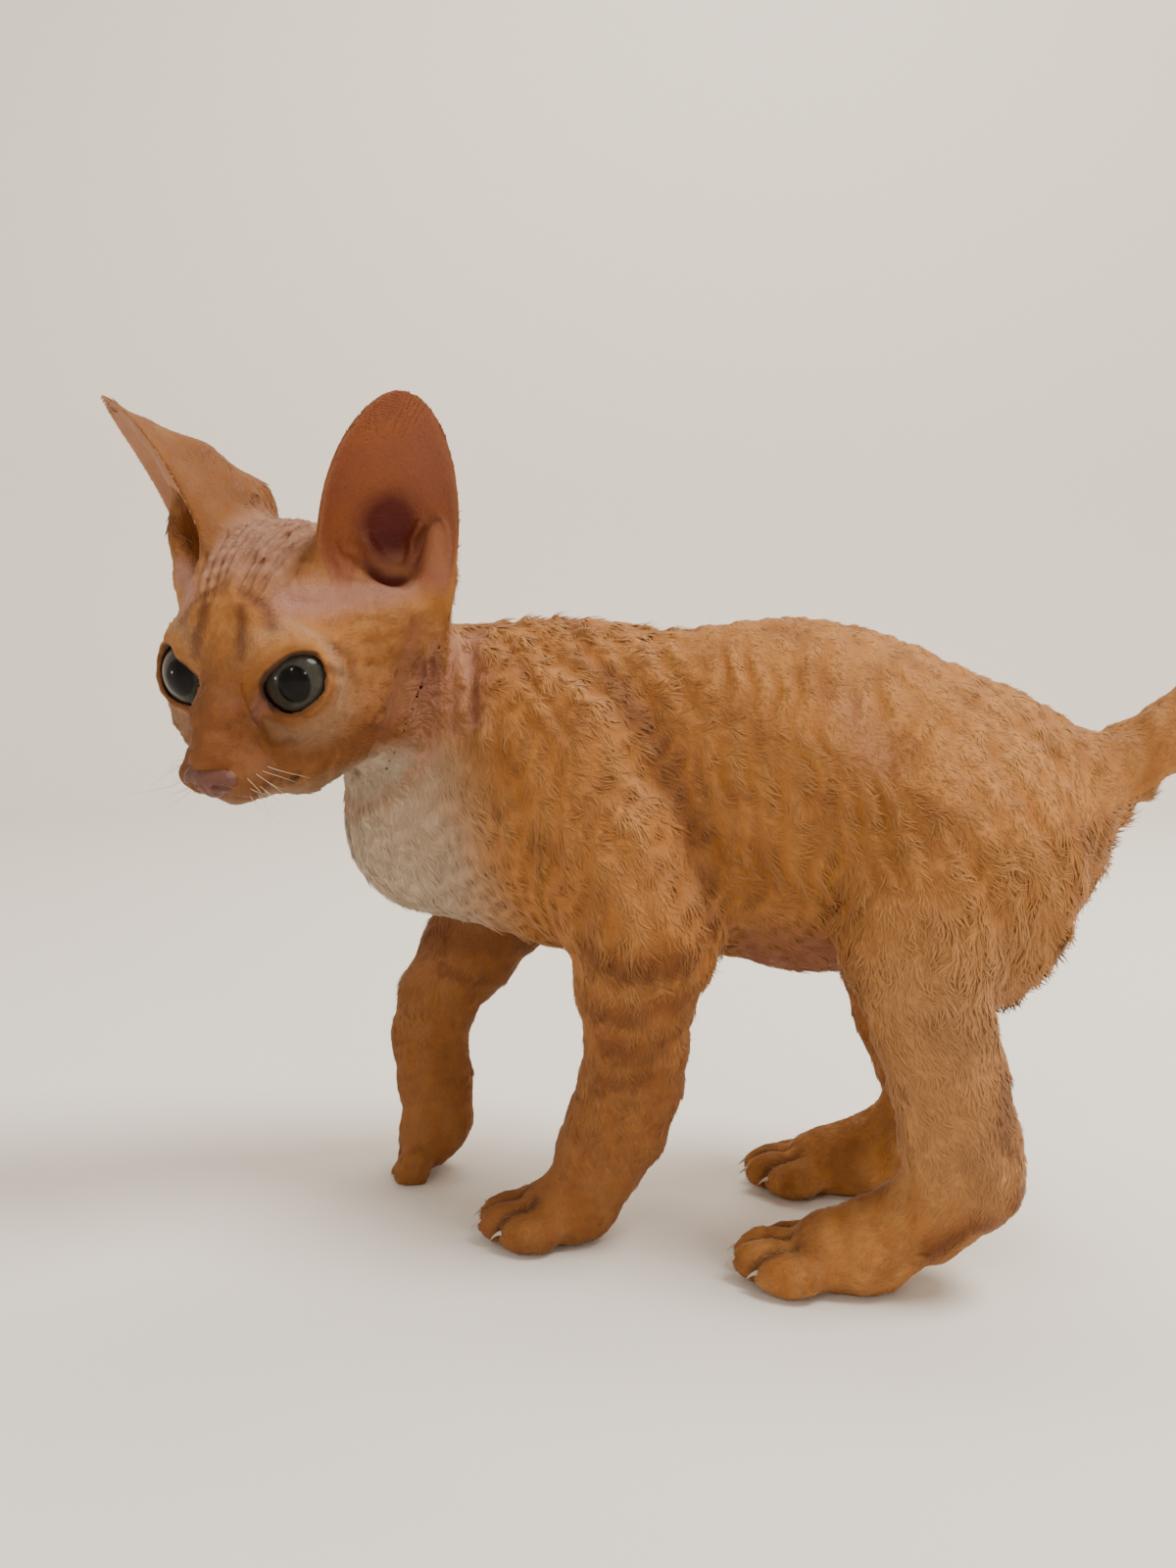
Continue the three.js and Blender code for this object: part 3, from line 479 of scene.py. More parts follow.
class Ear:
    """A curved sheet round an upright axis, from its root in the skull to its tip."""

    HALF_SPAN = 28.0
    DEPTH = 9.0
    BULGE = 4.0

    def __init__(self, side, root, tip, degrees):
        self.side = side
        self.root = np.array(root, dtype=float)
        axis = np.array(tip, dtype=float) - self.root
        self.height = np.linalg.norm(axis)
        self.axis = axis / self.height
        way = math.radians(degrees)
        gaze = np.array([math.sin(way), -math.cos(way), 0])
        gaze -= self.axis * (gaze @ self.axis)
        self.gaze = gaze / np.linalg.norm(gaze)
        self.across = np.cross(self.axis, self.gaze)

    def read(self, q):
        """Height, place across the sheet and distance in front of it, of points in the head's frame."""
        out = q * np.array([self.side, 1, 1]) - self.root
        t = out @ self.axis / self.height
        u = out @ self.across
        w = out @ self.gaze
        held = np.clip(t, -0.2, 1)
        radius = 13.5 + 3 * held + 6 * held**3
        centre = radius - self.DEPTH * (1 - held) - self.BULGE * np.sin(np.pi * np.clip(held, 0, 1))
        rad = np.hypot(u, w - centre)
        angle = np.arctan2(u, centre - w)
        return t, angle * radius, radius - rad, held

    def span(self, t):
        return self.HALF_SPAN * np.maximum(1 - t, 1e-4) ** 0.52

    def distance(self, q):
        t, side, front, held = self.read(q)
        span = self.span(held)
        thick = 1.25 - 0.75 * np.clip(held, 0, 1)
        sheet = np.abs(front) - thick * 0.62
        rate = self.HALF_SPAN * 0.52 * np.maximum(1 - held, 0.01) ** -0.48 / self.height
        edge = (np.abs(side) - span) / np.sqrt(1 + rate**2)
        edge = np.maximum(edge, (t - 1) * self.height)
        foot = (-0.08 - t) * self.height
        return soft_max(soft_max(sheet, edge, 0.9), foot, 1.0)


EARS = [Ear(1, (18, 11, 2), (35, 8, 57.5), 38), Ear(-1, (9.5, 14, 4), (42.5, 14, 56.5), 46)]

# Folds inside the ear, as lines of (place across, height) on its sheet: the rims of the canal and the pocket
EAR_FOLDS = [
    ([(-5.5, 0.34), (-3.5, 0.29), (-1.5, 0.25)], 1.3),
    ([(-2.5, 0.37), (0, 0.31), (1.5, 0.26)], 0.9),
    ([(9.5, 0.46), (8, 0.38), (9, 0.26)], 1.0),
]


def ears(q):
    """The distance to both ears, with the folds of skin inside them."""
    whole = np.full(len(q), FAR)
    for ear in EARS:
        near = (q[:, 0] * ear.side > -2) & (q[:, 2] > -8) & (q[:, 1] < 36) & (q[:, 1] > -16)
        if not near.any():
            continue
        spot = q[near]
        distance = ear.distance(spot)
        t, side, front, _ = ear.read(spot)
        flat = np.stack([side, t * ear.height], axis=1)
        for line, raise_by in EAR_FOLDS:
            spots = [(across, height * ear.height) for across, height in line]
            rib = stroke(spots, flat)
            ridge = np.hypot(rib, np.maximum(front - 1.2, 0)) - raise_by
            distance = soft_min(distance, np.maximum(ridge, -front - 1), 1.6)
        whole[near] = np.minimum(whole[near], distance)
    for mass, width in EAR_MASSES:
        whole = soft_min(whole, mass(q), width)
    return whole


# The whole skin

HEAD_LOW = HEAD.origin - 48
HEAD_HIGH = HEAD.origin + np.array([48, 48, 75])

# Folds of the neck and the withers, in the body's frame
NECK_FOLDS = [
    [(23.4, -54, 131), (24.6, -53, 122), (25.4, -52, 112)],
    [(20, -51, 136), (22.8, -50.5, 127), (25.2, -51, 116)],
    [(16.5, -48, 138), (22.5, -47, 127), (25.4, -46.5, 117)],
    [(12, -46, 140), (20, -43, 130), (25, -41, 119)],
]
JAW_FOLD = [
    [(27.8, -53, 139), (27.6, -54.6, 134), (26.2, -57.5, 125.4), (28.5, -58.7, 118.6), (28.6, -61.5, 114)],
]
WITHERS_FOLDS = [
    [(6, -36, 142), (16, -28, 135), (20, -16, 126)],
    [(2, -28, 142), (13, -20, 136), (17, -9, 127)],
    [(14, -38, 138), (23, -28, 126), (27, -20, 116)],
    [(6, -18, 140), (14, -9, 131), (22, 0, 118)],
    [(0, -10, 140), (12, -2, 134), (21, 8, 120)],
]
ELBOW_FOLD = [[(23, 11, 92), (30, 12.5, 77), (32, 11, 66)]]
FLANK_FOLD = [[(19, 40, 80), (22, 38, 72), (14, 36, 64)]]
HOCK_FOLD = [[(36.5, 53, 39), (37, 58.5, 38.5), (37.5, 60.5, 32), (36.5, 63, 29.5)]]


def within(p, low, high, margin=14.0):
    """Points inside a box grown by a margin."""
    return np.all((p > np.array(low) - margin) & (p < np.array(high) + margin), axis=1)


def bare_body(p):
    """The distance to the trunk with the neck and the tail, before the coat's relief."""
    distance = trunk(p)
    for mass, width in TRUNK_MASSES:
        distance = soft_min(distance, mass(p), width)
    near = p[:, 1] > 66
    if near.any():
        distance[near] = soft_min(distance[near], limb(TAIL, 1.2)(p[near]), 9)
    return distance


def flank_share(p):
    """1 on the flanks between shoulder and thigh, 0 elsewhere."""
    side = step_up(np.abs(p[:, 0] + 4), 10, 18)
    return side * step_up(p[:, 1], 0, 14) * step_down(p[:, 1], 50, 66) * step_up(p[:, 2], 72, 82)


def ripple(p):
    """Waves of the curly coat: upright on the flank, looser elsewhere; from about -1 to 1."""
    drift = 2.2 * swell(p, 26, 11)
    upright = np.sin((p[:, 1] + 0.10 * (p[:, 2] - 100) + drift) * 2 * math.pi / 5.4)
    loose = swell(p * np.array([1, 1, 0.7]), 7.0, 12)
    share = flank_share(p)
    return share * upright * (0.75 + 0.35 * swell(p, 14, 13, 1)) + (1 - share) * 0.8 * loose


def coat_depth(p, q):
    """How far the skin lies inside the solids, for points with their head coordinates."""
    body = step_up(length_of(q - np.array([0, 4, 2])), 30, 46) * step_down(q[:, 2], 6, 20)
    low = step_up(p[:, 2], 24, 60)
    on_ears = step_up(q[:, 2], 16, 28) * step_down(length_of(q), 66, 75)
    return 0.3 + 0.7 * body * low - 0.25 * on_ears


def relief(p):
    """How far the skin of the body stands out: the coat's waves, and folds of slack skin."""
    high = step_up(p[:, 2], 55, 75) * step_up(p[:, 1], -58, -40)
    out = 0.42 * ripple(p) * high
    out += 0.12 * swell(p, 6, 5) * (1 - high)
    for folds, deep, wide in (
        (NECK_FOLDS, 2.1, 1.3),
        (JAW_FOLD, 2.2, 1.6),
        (WITHERS_FOLDS, 1.3, 1.5),
        (ELBOW_FOLD, 2.2, 2.2),
        (FLANK_FOLD, 1.6, 2.5),
        (HOCK_FOLD, 1.3, 1.5),
    ):
        low = np.min([spot for fold in folds for spot in fold], axis=0)
        high_corner = np.max([spot for fold in folds for spot in fold], axis=0)
        near = within(p, low, high_corner, 6)
        if near.any():
            out[near] -= deep * brush(folds, wide, p[near])
    return out


def skin(p, detail=True):
    """The distance to the kitten's skin, below zero inside."""
    body = bare_body(p)
    distance = body.copy()
    near = within(p, HEAD_LOW, HEAD_HIGH)
    if near.any():
        q = HEAD.local(p[near])
        head = skull(q) if detail else blended(SKULL, q)
        distance[near] = soft_min(distance[near], head, 4.5)
    for bones, low, high in LEGS.values():
        close = within(p, low, high)
        if close.any():
            joined = soft_min(body[close], bones(p[close]), 9)
            distance[close] = np.minimum(distance[close], joined)
    if detail:
        shallow = np.abs(distance) < 5
        spots = p[shallow]
        distance[shallow] -= relief(spots)
    if near.any():
        joined_ears = soft_min(distance[near], ears(q), EAR_BLEND)
        canal = np.minimum(EAR_CANALS[0](q), EAR_CANALS[1](q))
        distance[near] = soft_max(joined_ears, -canal, 3)
    distance += coat_depth(p, HEAD.local(p)) * np.where(distance > -6, 1, 0)
    if near.any() and detail:
        eye = mirrored(q) - np.array(EYE_PLACE)
        distance[near] = np.maximum(distance[near], EYE_RADIUS + 0.04 - length_of(eye))
    return np.maximum(distance, -p[:, 2] + 0.15)


# Surface nets: one vertex in each cell that the field crosses


def read_lattice(field, low, count, step, block=8):
    """The field on a lattice, read finely only in blocks near its surface."""
    blocks = -(-count // block)
    value = np.empty((*blocks, block, block, block), dtype=np.float32)
    corner = np.stack(np.meshgrid(*[np.arange(n) for n in blocks], indexing="ij"), axis=-1).reshape(-1, 3)
    middle = low + (corner + 0.5) * block * step
    rough = field(middle)
    near = np.abs(rough) < block * step * 1.25 + 2.5
    flat = value.reshape(-1, block**3)
    flat[:] = np.sign(rough)[:, None] * block * step
    inner = np.stack(np.meshgrid(*[np.arange(block)] * 3, indexing="ij"), axis=-1).reshape(-1, 3)
    for part in np.array_split(np.nonzero(near)[0], max(1, int(near.sum()) // 400)):
        spots = low + (corner[part][:, None, :] * block + inner[None]).reshape(-1, 3) * step
        flat[part] = field(spots).reshape(len(part), -1)
    dense = value.transpose(0, 3, 1, 4, 2, 5).reshape(*(blocks * block))
    return np.ascontiguousarray(dense[: count[0], : count[1], : count[2]])


def drawn_on(field, spots, step):
    """Vertices moved on to the surface along the slope of the field."""
    ways = np.array([(1, -1, -1), (-1, -1, 1), (-1, 1, -1), (1, 1, 1)])
    for _ in range(2):
        e = step * 0.1
        reads = [field(spots + way * e) for way in ways]
        slope = sum(read[:, None] * way for read, way in zip(reads, ways)) / (4 * e)
        value = sum(reads) / 4
        shift = -slope * (value / np.maximum(np.einsum("ij,ij->i", slope, slope), 0.25))[:, None]
        size = np.maximum(length_of(shift), 1e-9)
        spots = spots + shift * np.minimum(1, step * 0.35 / size)[:, None]
    return spots


def surface(field, low, high, step):
    """Vertices and four-cornered faces of the field's zero surface."""
    low = np.array(low, dtype=float)
    count = np.ceil((np.array(high) - low) / step).astype(int) + 1
    value = read_lattice(field, low, count, step)
    inside = value < 0
    sums = np.zeros(count - 1, dtype=np.int8)
    corners = [(i, j, k) for k in (0, 1) for j in (0, 1) for i in (0, 1)]
    for i, j, k in corners:
        sums += inside[i : i + count[0] - 1, j : j + count[1] - 1, k : k + count[2] - 1]
    cells = np.argwhere((sums > 0) & (sums < 8))
    reads = np.stack([value[tuple((cells + corner).T)] for corner in corners], axis=1)
    total = np.zeros((len(cells), 3))
    crossings = np.zeros(len(cells))
    for a in range(8):
        for b in range(a + 1, 8):
            if bin(a ^ b).count("1") != 1:
                continue
            crossed = (reads[:, a] < 0) != (reads[:, b] < 0)
            t = reads[crossed, a] / (reads[crossed, a] - reads[crossed, b])
            start = np.array(corners[a], dtype=float)
            total[crossed] += start + t[:, None] * (np.array(corners[b]) - start)
            crossings[crossed] += 1
    spots = low + (cells + total / crossings[:, None]) * step
    number = np.full(count - 1, -1, dtype=np.int32)
    number[tuple(cells.T)] = np.arange(len(cells))
    faces = []
    for axis in range(3):
        u = np.eye(3, dtype=int)[(axis + 1) % 3]
        v = np.eye(3, dtype=int)[(axis + 2) % 3]
        here = [slice(0, count[n] - (n == axis)) for n in range(3)]
        there = [slice(1 if n == axis else 0, count[n]) for n in range(3)]
        start = inside[tuple(here)]
        edges = np.argwhere(start != inside[tuple(there)])
        kept = np.all((edges >= u + v) & (edges < count - 1), axis=1)
        edges = edges[kept]
        quad = np.stack(
            [number[tuple((edges - shift).T)] for shift in (u + v, v, np.zeros(3, int), u)], axis=1
        )
        outward = start[tuple(edges.T)]
        quad[~outward] = quad[~outward][:, ::-1]
        faces.append(quad[(quad >= 0).all(axis=1)])
    return drawn_on(field, spots, step), np.concatenate(faces)


# Objects from arrays


def shift_of_frame():
    """Where the kitten's own origin lies in the frame, in metres, read from the left eye."""
    low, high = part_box("eye_left")
    centre = (np.array(low) + np.array(high)) / 2
    return centre - HEAD.world(EYE_PLACE) * MM


SHIFT = shift_of_frame()


def to_frame(p):
    """Kitten millimetres to frame metres."""
    return np.asarray(p) * MM + SHIFT


def to_kitten(p):
    """Frame metres to kitten millimetres."""
    return (np.asarray(p) - SHIFT) / MM


def mesh_object(name, spots, faces, material):
    """A smooth-shaded object in the frame from kitten points and faces with the same number of corners."""
    mesh = bpy.data.meshes.new(name)
    faces = np.asarray(faces, dtype=np.int32)
    sides = faces.shape[1]
    mesh.vertices.add(len(spots))
    mesh.vertices.foreach_set("co", to_frame(spots).astype(np.float32).ravel())
    mesh.loops.add(faces.size)
    mesh.loops.foreach_set("vertex_index", faces.ravel())
    mesh.polygons.add(len(faces))
    mesh.polygons.foreach_set("loop_start", np.arange(0, faces.size, sides, dtype=np.int32))
    mesh.polygons.foreach_set("use_smooth", np.ones(len(faces), dtype=bool))
    mesh.update(calc_edges=True)
    mesh.validate()
    mesh.materials.append(material)
    made = bpy.data.objects.new(name, mesh)
    bpy.context.scene.collection.objects.link(made)
    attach(made, BODY)
    return made


def keep_marks(made, marks):
    """Writes masks on an object's vertices, for its material to read."""
    for name, values in marks.items():
        layer = made.data.attributes.new(name, "FLOAT", "POINT")
        layer.data.foreach_set("value", np.asarray(values, dtype=np.float32))


# Markings, the same for skin and coat

FACE_BARS = [
    [(4.2, -16.5, 19.5), (5.3, -19.4, 15.2), (5.2, -21.7, 11)],
    [(3.5, -13.5, 22.5), (9, -14.5, 19.3), (10.7, -16.7, 16)],
    [(20.9, -16, 7.5), (22.2, -11.4, 4.3), (23.2, -7.6, 0.6)],
    [(20.4, -10.3, 9.4), (21.3, -6.2, 6.3), (22.6, -9, 1)],
    [(16, -19.2, -3.3), (20, -15.3, -10), (24.6, -9.3, -8.8), (26.1, -1.9, -5.5)],
    [(7.4, -22, 4), (5.8, -27, -0.4), (4.6, -32, -5.5)],
]
PAD_ROWS = [
    [(6.7, -33.1, -10), (10.6, -27.8, -11), (13, -22, -13)],
    [(7.2, -33.2, -12), (9.6, -27, -14), (12.3, -20.5, -16.5)],
]
TEMPLE = [(12.5, -11.5, 20), (17.5, -5, 18), (22, 3, 17), (27, 9, 17), (30, 13, 18)]
EYE_RING = 1.55
MUZZLE = np.array([6.5, -28, -13.5])
BARE_FLANK = [(19, 40, 121), (22, 45, 111)]
# How much of the lining's colour the right ear shows
FAR_LINING = 0.3
BODY_BARS = [
    [
        (14.6, -13, 128),
        (18.3, -6.7, 122),
        (22, 0, 111),
        (24, 4, 103),
        (24, 6.7, 95),
        (24.2, 10.3, 84),
        (29, 11, 74),
    ],
    [(33, -15, 70), (38, -1, 67.5), (36, 9, 70)],
    [(32, -12, 58), (35, -2, 56.5), (32, 9, 60)],
    [(31, -11, 49.5), (32, -2, 48.5), (29, 6, 52)],
    [(28, -13, 41), (30.5, -1, 43)],
    [(-8, -55, 66), (-10, -45, 61)],
    [(-9, -62, 56), (-12, -50, 52)],
    [(30, 72, 48), (34, 71, 36)],
    [(34, 58, 13), (34, 66, 18), (27, 74, 24)],
]


def pinna_marks(q):
    """Masks of the ears at head points: the lining, its canal of reddish skin painted dark as shade in the
    ear's depth, and the pale inside of the right ear.
    """
    lining = np.zeros(len(q))
    canal = np.zeros(len(q))
    pale = np.zeros(len(q))
    for ear in EARS:
        t, side, front, held = ear.read(q)
        inside = (np.abs(side) < ear.span(held) + 3) & (front > 0.1) & (front < 7) & (t > 0.1)
        inside &= (t < 1.03) & (q[:, 0] * ear.side > 0)
        rim = step_up(ear.span(held) - np.abs(side), -0.5, 2.5)
        share = 1.0 if ear.side > 0 else FAR_LINING
        lining = most(lining, share * inside * rim * step_up(t, 0.22, 0.34))
        if ear.side > 0:
            # The deep of the left ear's cup: reddish skin darkened as painted shade
            deep = np.exp(-(((side - 2.5) / 6.5) ** 2 + ((t - 0.43) / 0.14) ** 2) ** 1.1)
            canal = most(canal, inside * np.minimum(1.5 * deep, 1))
        else:
            pale = inside * 1.0
    canal = most(canal, step_down(EAR_CANALS[0](q), 0.2, 1.6))
    pocket = most(*(step_down(mass(q), 0.2, 1.6) for mass, _ in EAR_MASSES[:2]))
    canal *= 1 - 0.8 * pocket
    return most(lining, canal) * (1 - 0.6 * pocket), canal, pale


def lid_marks(face):
    """Masks round the eyes at mirrored head points: a pale ring, a dark rim with painted shade from the brow
    over the upper lid, and the corner by the nose.
    """
    reach, far, rise = lid_reach(face)
    ring = 0.6 * np.exp(-(((reach - EYE_RING) / 0.28) ** 2)) * step_down(far, 12, 17)
    rim = step_down(reach, 0.98, 1.05) * step_down(far, 9.2, 10.2) * (face[:, 1] < 4)
    # The upper rim darker than the lower: the dark lid margin with painted shade from the brow
    rim *= 0.5 + 0.5 * step_up(rise, -0.4, 0.1)
    # A dark band just above the upper lid: painted shade under the brow
    brow_shade = 0.45 * np.exp(-(((reach - 1.12) / 0.12) ** 2)) * step_up(rise, -0.1, 0.7) * step_down(far, 10, 12)
    dark = most(rim, brow_shade, 0.55 * brush([EYE_CORNER], 0.7, face))
    return ring, dark, brush([EYE_CORNER], 2.2, face)


def rust_and_shade_mask(p, q, face, on_head, drift):
    """Where the coat is red-brown: bars, streaks, the backs of the ears and the forelegs. The same mask
    paints shade on the front of the face with the muzzle, on the lower face, and with a dark band on the
    upper right foreleg.
    """
    back = step_up(p[:, 2] - np.interp(p[:, 1], STATION_Y, STATION[:, 1]), -12, 1) * (1 - on_head)
    # The upper right foreleg on the far side: a dark band, deepened by painted shade
    right_arm = step_down(p[:, 0], -7, 0) * step_down(p[:, 1], -40, -20) * step_down(p[:, 2], 68, 80)
    return most(
        0.30 * step_up(drift, 0.1, 1.2),
        0.85 * brush(BODY_BARS, 4.0, p + drift[:, None] * 0.6),
        on_head * 0.9 * brush(FACE_BARS, 1.7, face),
        on_head * 0.75 * brush(PAD_ROWS, 0.8, face),
        0.22 * back * step_up(p[:, 1], 60, 95),
        # Painted shade: the lower part of the face darker
        on_head * (0.5 * step_down(q[:, 2], 0, 12) + 0.25 * step_down(q[:, 2], -12, 0)),
        # Painted shade: the front of the face and the muzzle darker
        0.85 * on_head * step_down(q[:, 1], -26, -18),
        0.7 * step_up(q[:, 2], 18, 28) * step_down(length_of(q), 66, 75),
        0.5 * step_down(p[:, 2], 40, 66) * step_down(p[:, 1], 0, 16),
        right_arm * (0.5 + 0.3 * step_up(p[:, 2], 56, 62)),
    )


def creamy(p, q, on_head, drift):
    """Where the coat is cream: the throat, the chest and the chin."""
    high = p[:, 2] + 3 * drift
    chest = (1 - on_head) * step_down(p[:, 1], -56, -30) * step_down(high, 102, 124)
    chest *= step_up(high - 14 * step_down(p[:, 0], -7, 0), 57, 71)
    chest *= step_down(p[:, 0], 20, 30) * 0.5 + 0.5
    chin = (1 - 0.6 * step_down(q[:, 1], -14, -4)) * step_down(q[:, 2], -22, -15) * on_head
    return most(chest, chin * step_down(q[:, 1], -8, 24))


def markings(p):
    """Masks of the coat at kitten points: red-brown with painted shade on the face, cream, the painted light
    and shade of the ripples, bare skin, folds painted as shade, dark edges and ear lining.
    """
    q = HEAD.local(p)
    face = mirrored(q)
    on_head = step_down(length_of(q - HEAD_MIDDLE), 35, 41)
    drift = swell(p, 17, 21)
    rust = rust_and_shade_mask(p, q, face, on_head, drift)
    ring, dark, corner = lid_marks(face)
    lining, canal, pale = pinna_marks(q)
    thigh = step_up(p[:, 0], 18, 28) * step_up(p[:, 1], 36, 52) * step_down(p[:, 2], 66, 88)
    thigh *= step_up(p[:, 2], 16, 30)
    muzzle = step_down(length_of((face - MUZZLE) * np.array([1, 1, 1.25])), 4, 8.5)
    crown = on_head * step_down(np.abs(q[:, 0]), 8, 13) * step_up(q[:, 2], 17, 22) * step_up(q[:, 1], -15, -8)
    cream = creamy(p, q, on_head, drift)
    # A little cream on the crown: painted light on the top of the head
    cream = most(cream, 0.10 * thigh, 0.42 * ring * on_head, 0.04 * muzzle, 0.15 * crown, 0.4 * pale)
    belly = step_down(p[:, 2], 68, 82) * step_up(p[:, 1], 8, 20) * step_down(p[:, 1], 44, 58)
    belly *= step_down(np.abs(p[:, 0] + 4), 16, 26) * step_up(p[:, 2], 52, 60)
    bare = most(
        0.55 * belly,
        on_head * brush([TEMPLE], 4.6, face),
        0.4 * crown,
        0.55 * brush(NECK_FOLDS, 4.6, p),
        0.35 * brush([BARE_FLANK], 5, p),
        0.8 * corner,
    )
    # Folds: painted shade in the creases of the crown, neck and jaw, at the inner corners of the eyes, and
    # under the belly
    fold = most(
        0.3 * on_head * brush(CROWN_FOLDS, 0.8, face),
        brush(NECK_FOLDS, 1.5, p),
        brush(JAW_FOLD, 1.8, p),
        0.35 * corner,
        0.75 * belly,
    )
    dark = most(dark, on_head * brush([MOUTH, PHILTRUM], 0.8, face))
    # Painted shade in the clefts between the toes
    for at, _ in PAWS:
        near = length_of(p - at.origin) < 30
        dark[near] = most(dark[near], 0.85 * clefts(at.local(p[near]), 1.5))
    # Painted light and shade of the coat: lighter on the crests of the ripples and towards the rear, darker
    # in the troughs and at the front; lighter also on the thigh, with random tone on the head
    wave = 0.42 + 0.42 * ripple(p) + 0.28 * step_up(p[:, 1], 10, 70) - 0.12 * step_down(p[:, 1], -40, 0)
    wave = (wave + 0.45 * thigh) * (1 - on_head) + (0.45 + 0.12 * swell(q, 5, 24)) * on_head
    return {
        "rust": rust * (1 - pale),
        "cream": cream,
        "wave": np.clip(wave, 0, 1),
        "bare": np.clip(most(bare, lining), 0, 1),
        "fold": fold,
        "dark": np.clip(dark, 0, 1),
        "lining": lining,
        "canal": canal,
    }


# Shader expressions


class Socket:
    """An output of a shader node, on which Python's signs add Math nodes."""

    def __init__(self, shader, out):
        self.shader = shader
        self.out = out

    def __add__(self, other):
        return self.shader.math("ADD", self, other)

    def __sub__(self, other):
        return self.shader.math("SUBTRACT", self, other)

    def __rsub__(self, other):
        return self.shader.math("SUBTRACT", other, self)

    def __mul__(self, other):
        return self.shader.math("MULTIPLY", self, other)

    __radd__ = __add__
    __rmul__ = __mul__


class Shader:
    """A material with its nodes, and the few ways in which nodes are added to it."""

    def __init__(self, name, **constants):
        self.material = bpy.data.materials.new(name)
        self.material.use_nodes = True
        self.nodes = self.material.node_tree.nodes
        self.links = self.material.node_tree.links
        self.surface = self.nodes["Principled BSDF"]
        for socket, value in constants.items():
            self.surface.inputs[socket.replace("_", " ")].default_value = value

    def feed(self, socket, value):
        if isinstance(value, Socket):
            self.links.new(value.out, socket)
        elif hasattr(socket.default_value, "__len__") and hasattr(value, "__len__"):
            socket.default_value = (*value, 1.0)[: len(socket.default_value)]
        else:
            socket.default_value = value

    def node(self, kind, settings=None, inputs=None, out=0):
        """Any node: its settings first, then what its sockets take; gives one of its outputs."""
        made = self.nodes.new(kind)
        for name, value in (settings or {}).items():
            if name == "stops":
                for stop, (place, colour) in zip(made.color_ramp.elements, value):
                    stop.position = place
                    stop.color = (*colour, 1.0)
            else:
                setattr(made, name, value)
        for name, value in (inputs or {}).items():
            self.feed(made.inputs[name], value)
        return Socket(self, made.outputs[out])

    def math(self, operation, a, b):
        return self.node("ShaderNodeMath", {"operation": operation}, {0: a, 1: b})

    def mixed(self, share, a, b):
        """From colour a to colour b by a share."""
        return self.node("ShaderNodeMix", {"data_type": "RGBA"}, {0: share, 6: a, 7: b}, 2)

    def mark(self, name):
        """A mask that the mesh carries."""
        return self.node("ShaderNodeAttribute", {"attribute_name": name}, out="Fac")

    def noise(self, scale, detail=2.0):
        """Noise over the frame, with its scale in crests a metre."""
        where = self.node("ShaderNodeTexCoord", out="Object")
        return self.node("ShaderNodeTexNoise", inputs={"Vector": where, "Scale": scale, "Detail": detail})

    def edge(self, name, low, high):
        """A smooth rise from 0 to 1 of a mask that the mesh carries, between two of its values."""
        inputs = {"Value": self.mark(name), "From Min": low, "From Max": high}
        return self.node("ShaderNodeMapRange", {"interpolation_type": "SMOOTHSTEP"}, inputs)

    def bump(self, height, distance, strength=1.0):
        inputs = {"Height": height, "Distance": distance, "Strength": strength}
        return self.node("ShaderNodeBump", inputs=inputs, out="Normal")

    def finish(self, **sockets):
        """Links what changes over the surface, and gives the material."""
        for name, value in sockets.items():
            self.feed(self.surface.inputs[name.replace("_", " ")], value)
        return self.material


def rgb(value):
    return tuple(value)[:3]


def coat_colour(shader, colours, strand=0.0):
    """The kitten's colour from the marks that skin and tufts share."""
    tone = shader.noise(120.0, 3.0)
    # Painted light and shade: the ripples' mark mixes towards the paler coat on the crests and towards the
    # rear, and keeps the deeper orange in the troughs and at the front
    light = 0.15 * tone + 0.6 * shader.mark("wave") + strand
    base = shader.mixed(light, rgb(colours.coat), rgb(colours.pale_and_lit_coat))
    # Red-brown bars and streaks, with painted shade on the front and the lower part of the face
    base = shader.mixed(shader.mark("rust") * (0.7 + 0.6 * tone), base, rgb(colours.rust))
    base = shader.mixed(shader.mark("cream") * 0.9, base, rgb(colours.cream))
    return base


def skin_material(colours):
    shader = Shader("kitten_skin", Specular_IOR_Level=0.35, Subsurface_Weight=0.12, Subsurface_Scale=0.002)
    bare = shader.mixed(shader.noise(260.0) * 0.5, rgb(colours.bare_skin), rgb(colours.deep_skin_and_fold_shade))
    lining = shader.mixed(shader.noise(90.0), rgb(colours.ear_lining), rgb(colours.deep_skin_and_fold_shade))
    # The canal: reddish skin darkened as painted shade in the ear's depth
    lining = shader.mixed(shader.mark("canal"), lining, rgb(colours.ear_canal_and_shade))
    base = shader.mixed(shader.mark("bare"), coat_colour(shader, colours), bare)
    base = shader.mixed(shader.mark("lining"), base, lining)
    # Painted shade in creases and folds and under the belly
    base = shader.mixed(shader.mark("fold") * 0.75, base, rgb(colours.deep_skin_and_fold_shade))
    # Dark edges, with painted shade in the toe clefts and above the upper lids
    base = shader.mixed(shader.mark("dark") * 0.9, base, rgb(colours.dark))
    grain = shader.noise(1500.0, 3.0) + 0.5 * shader.noise(620.0)
    normal = shader.bump(grain, 0.0006, 0.5)
    return shader.finish(Base_Color=base, Roughness=0.82 - 0.25 * shader.mark("bare"), Normal=normal)


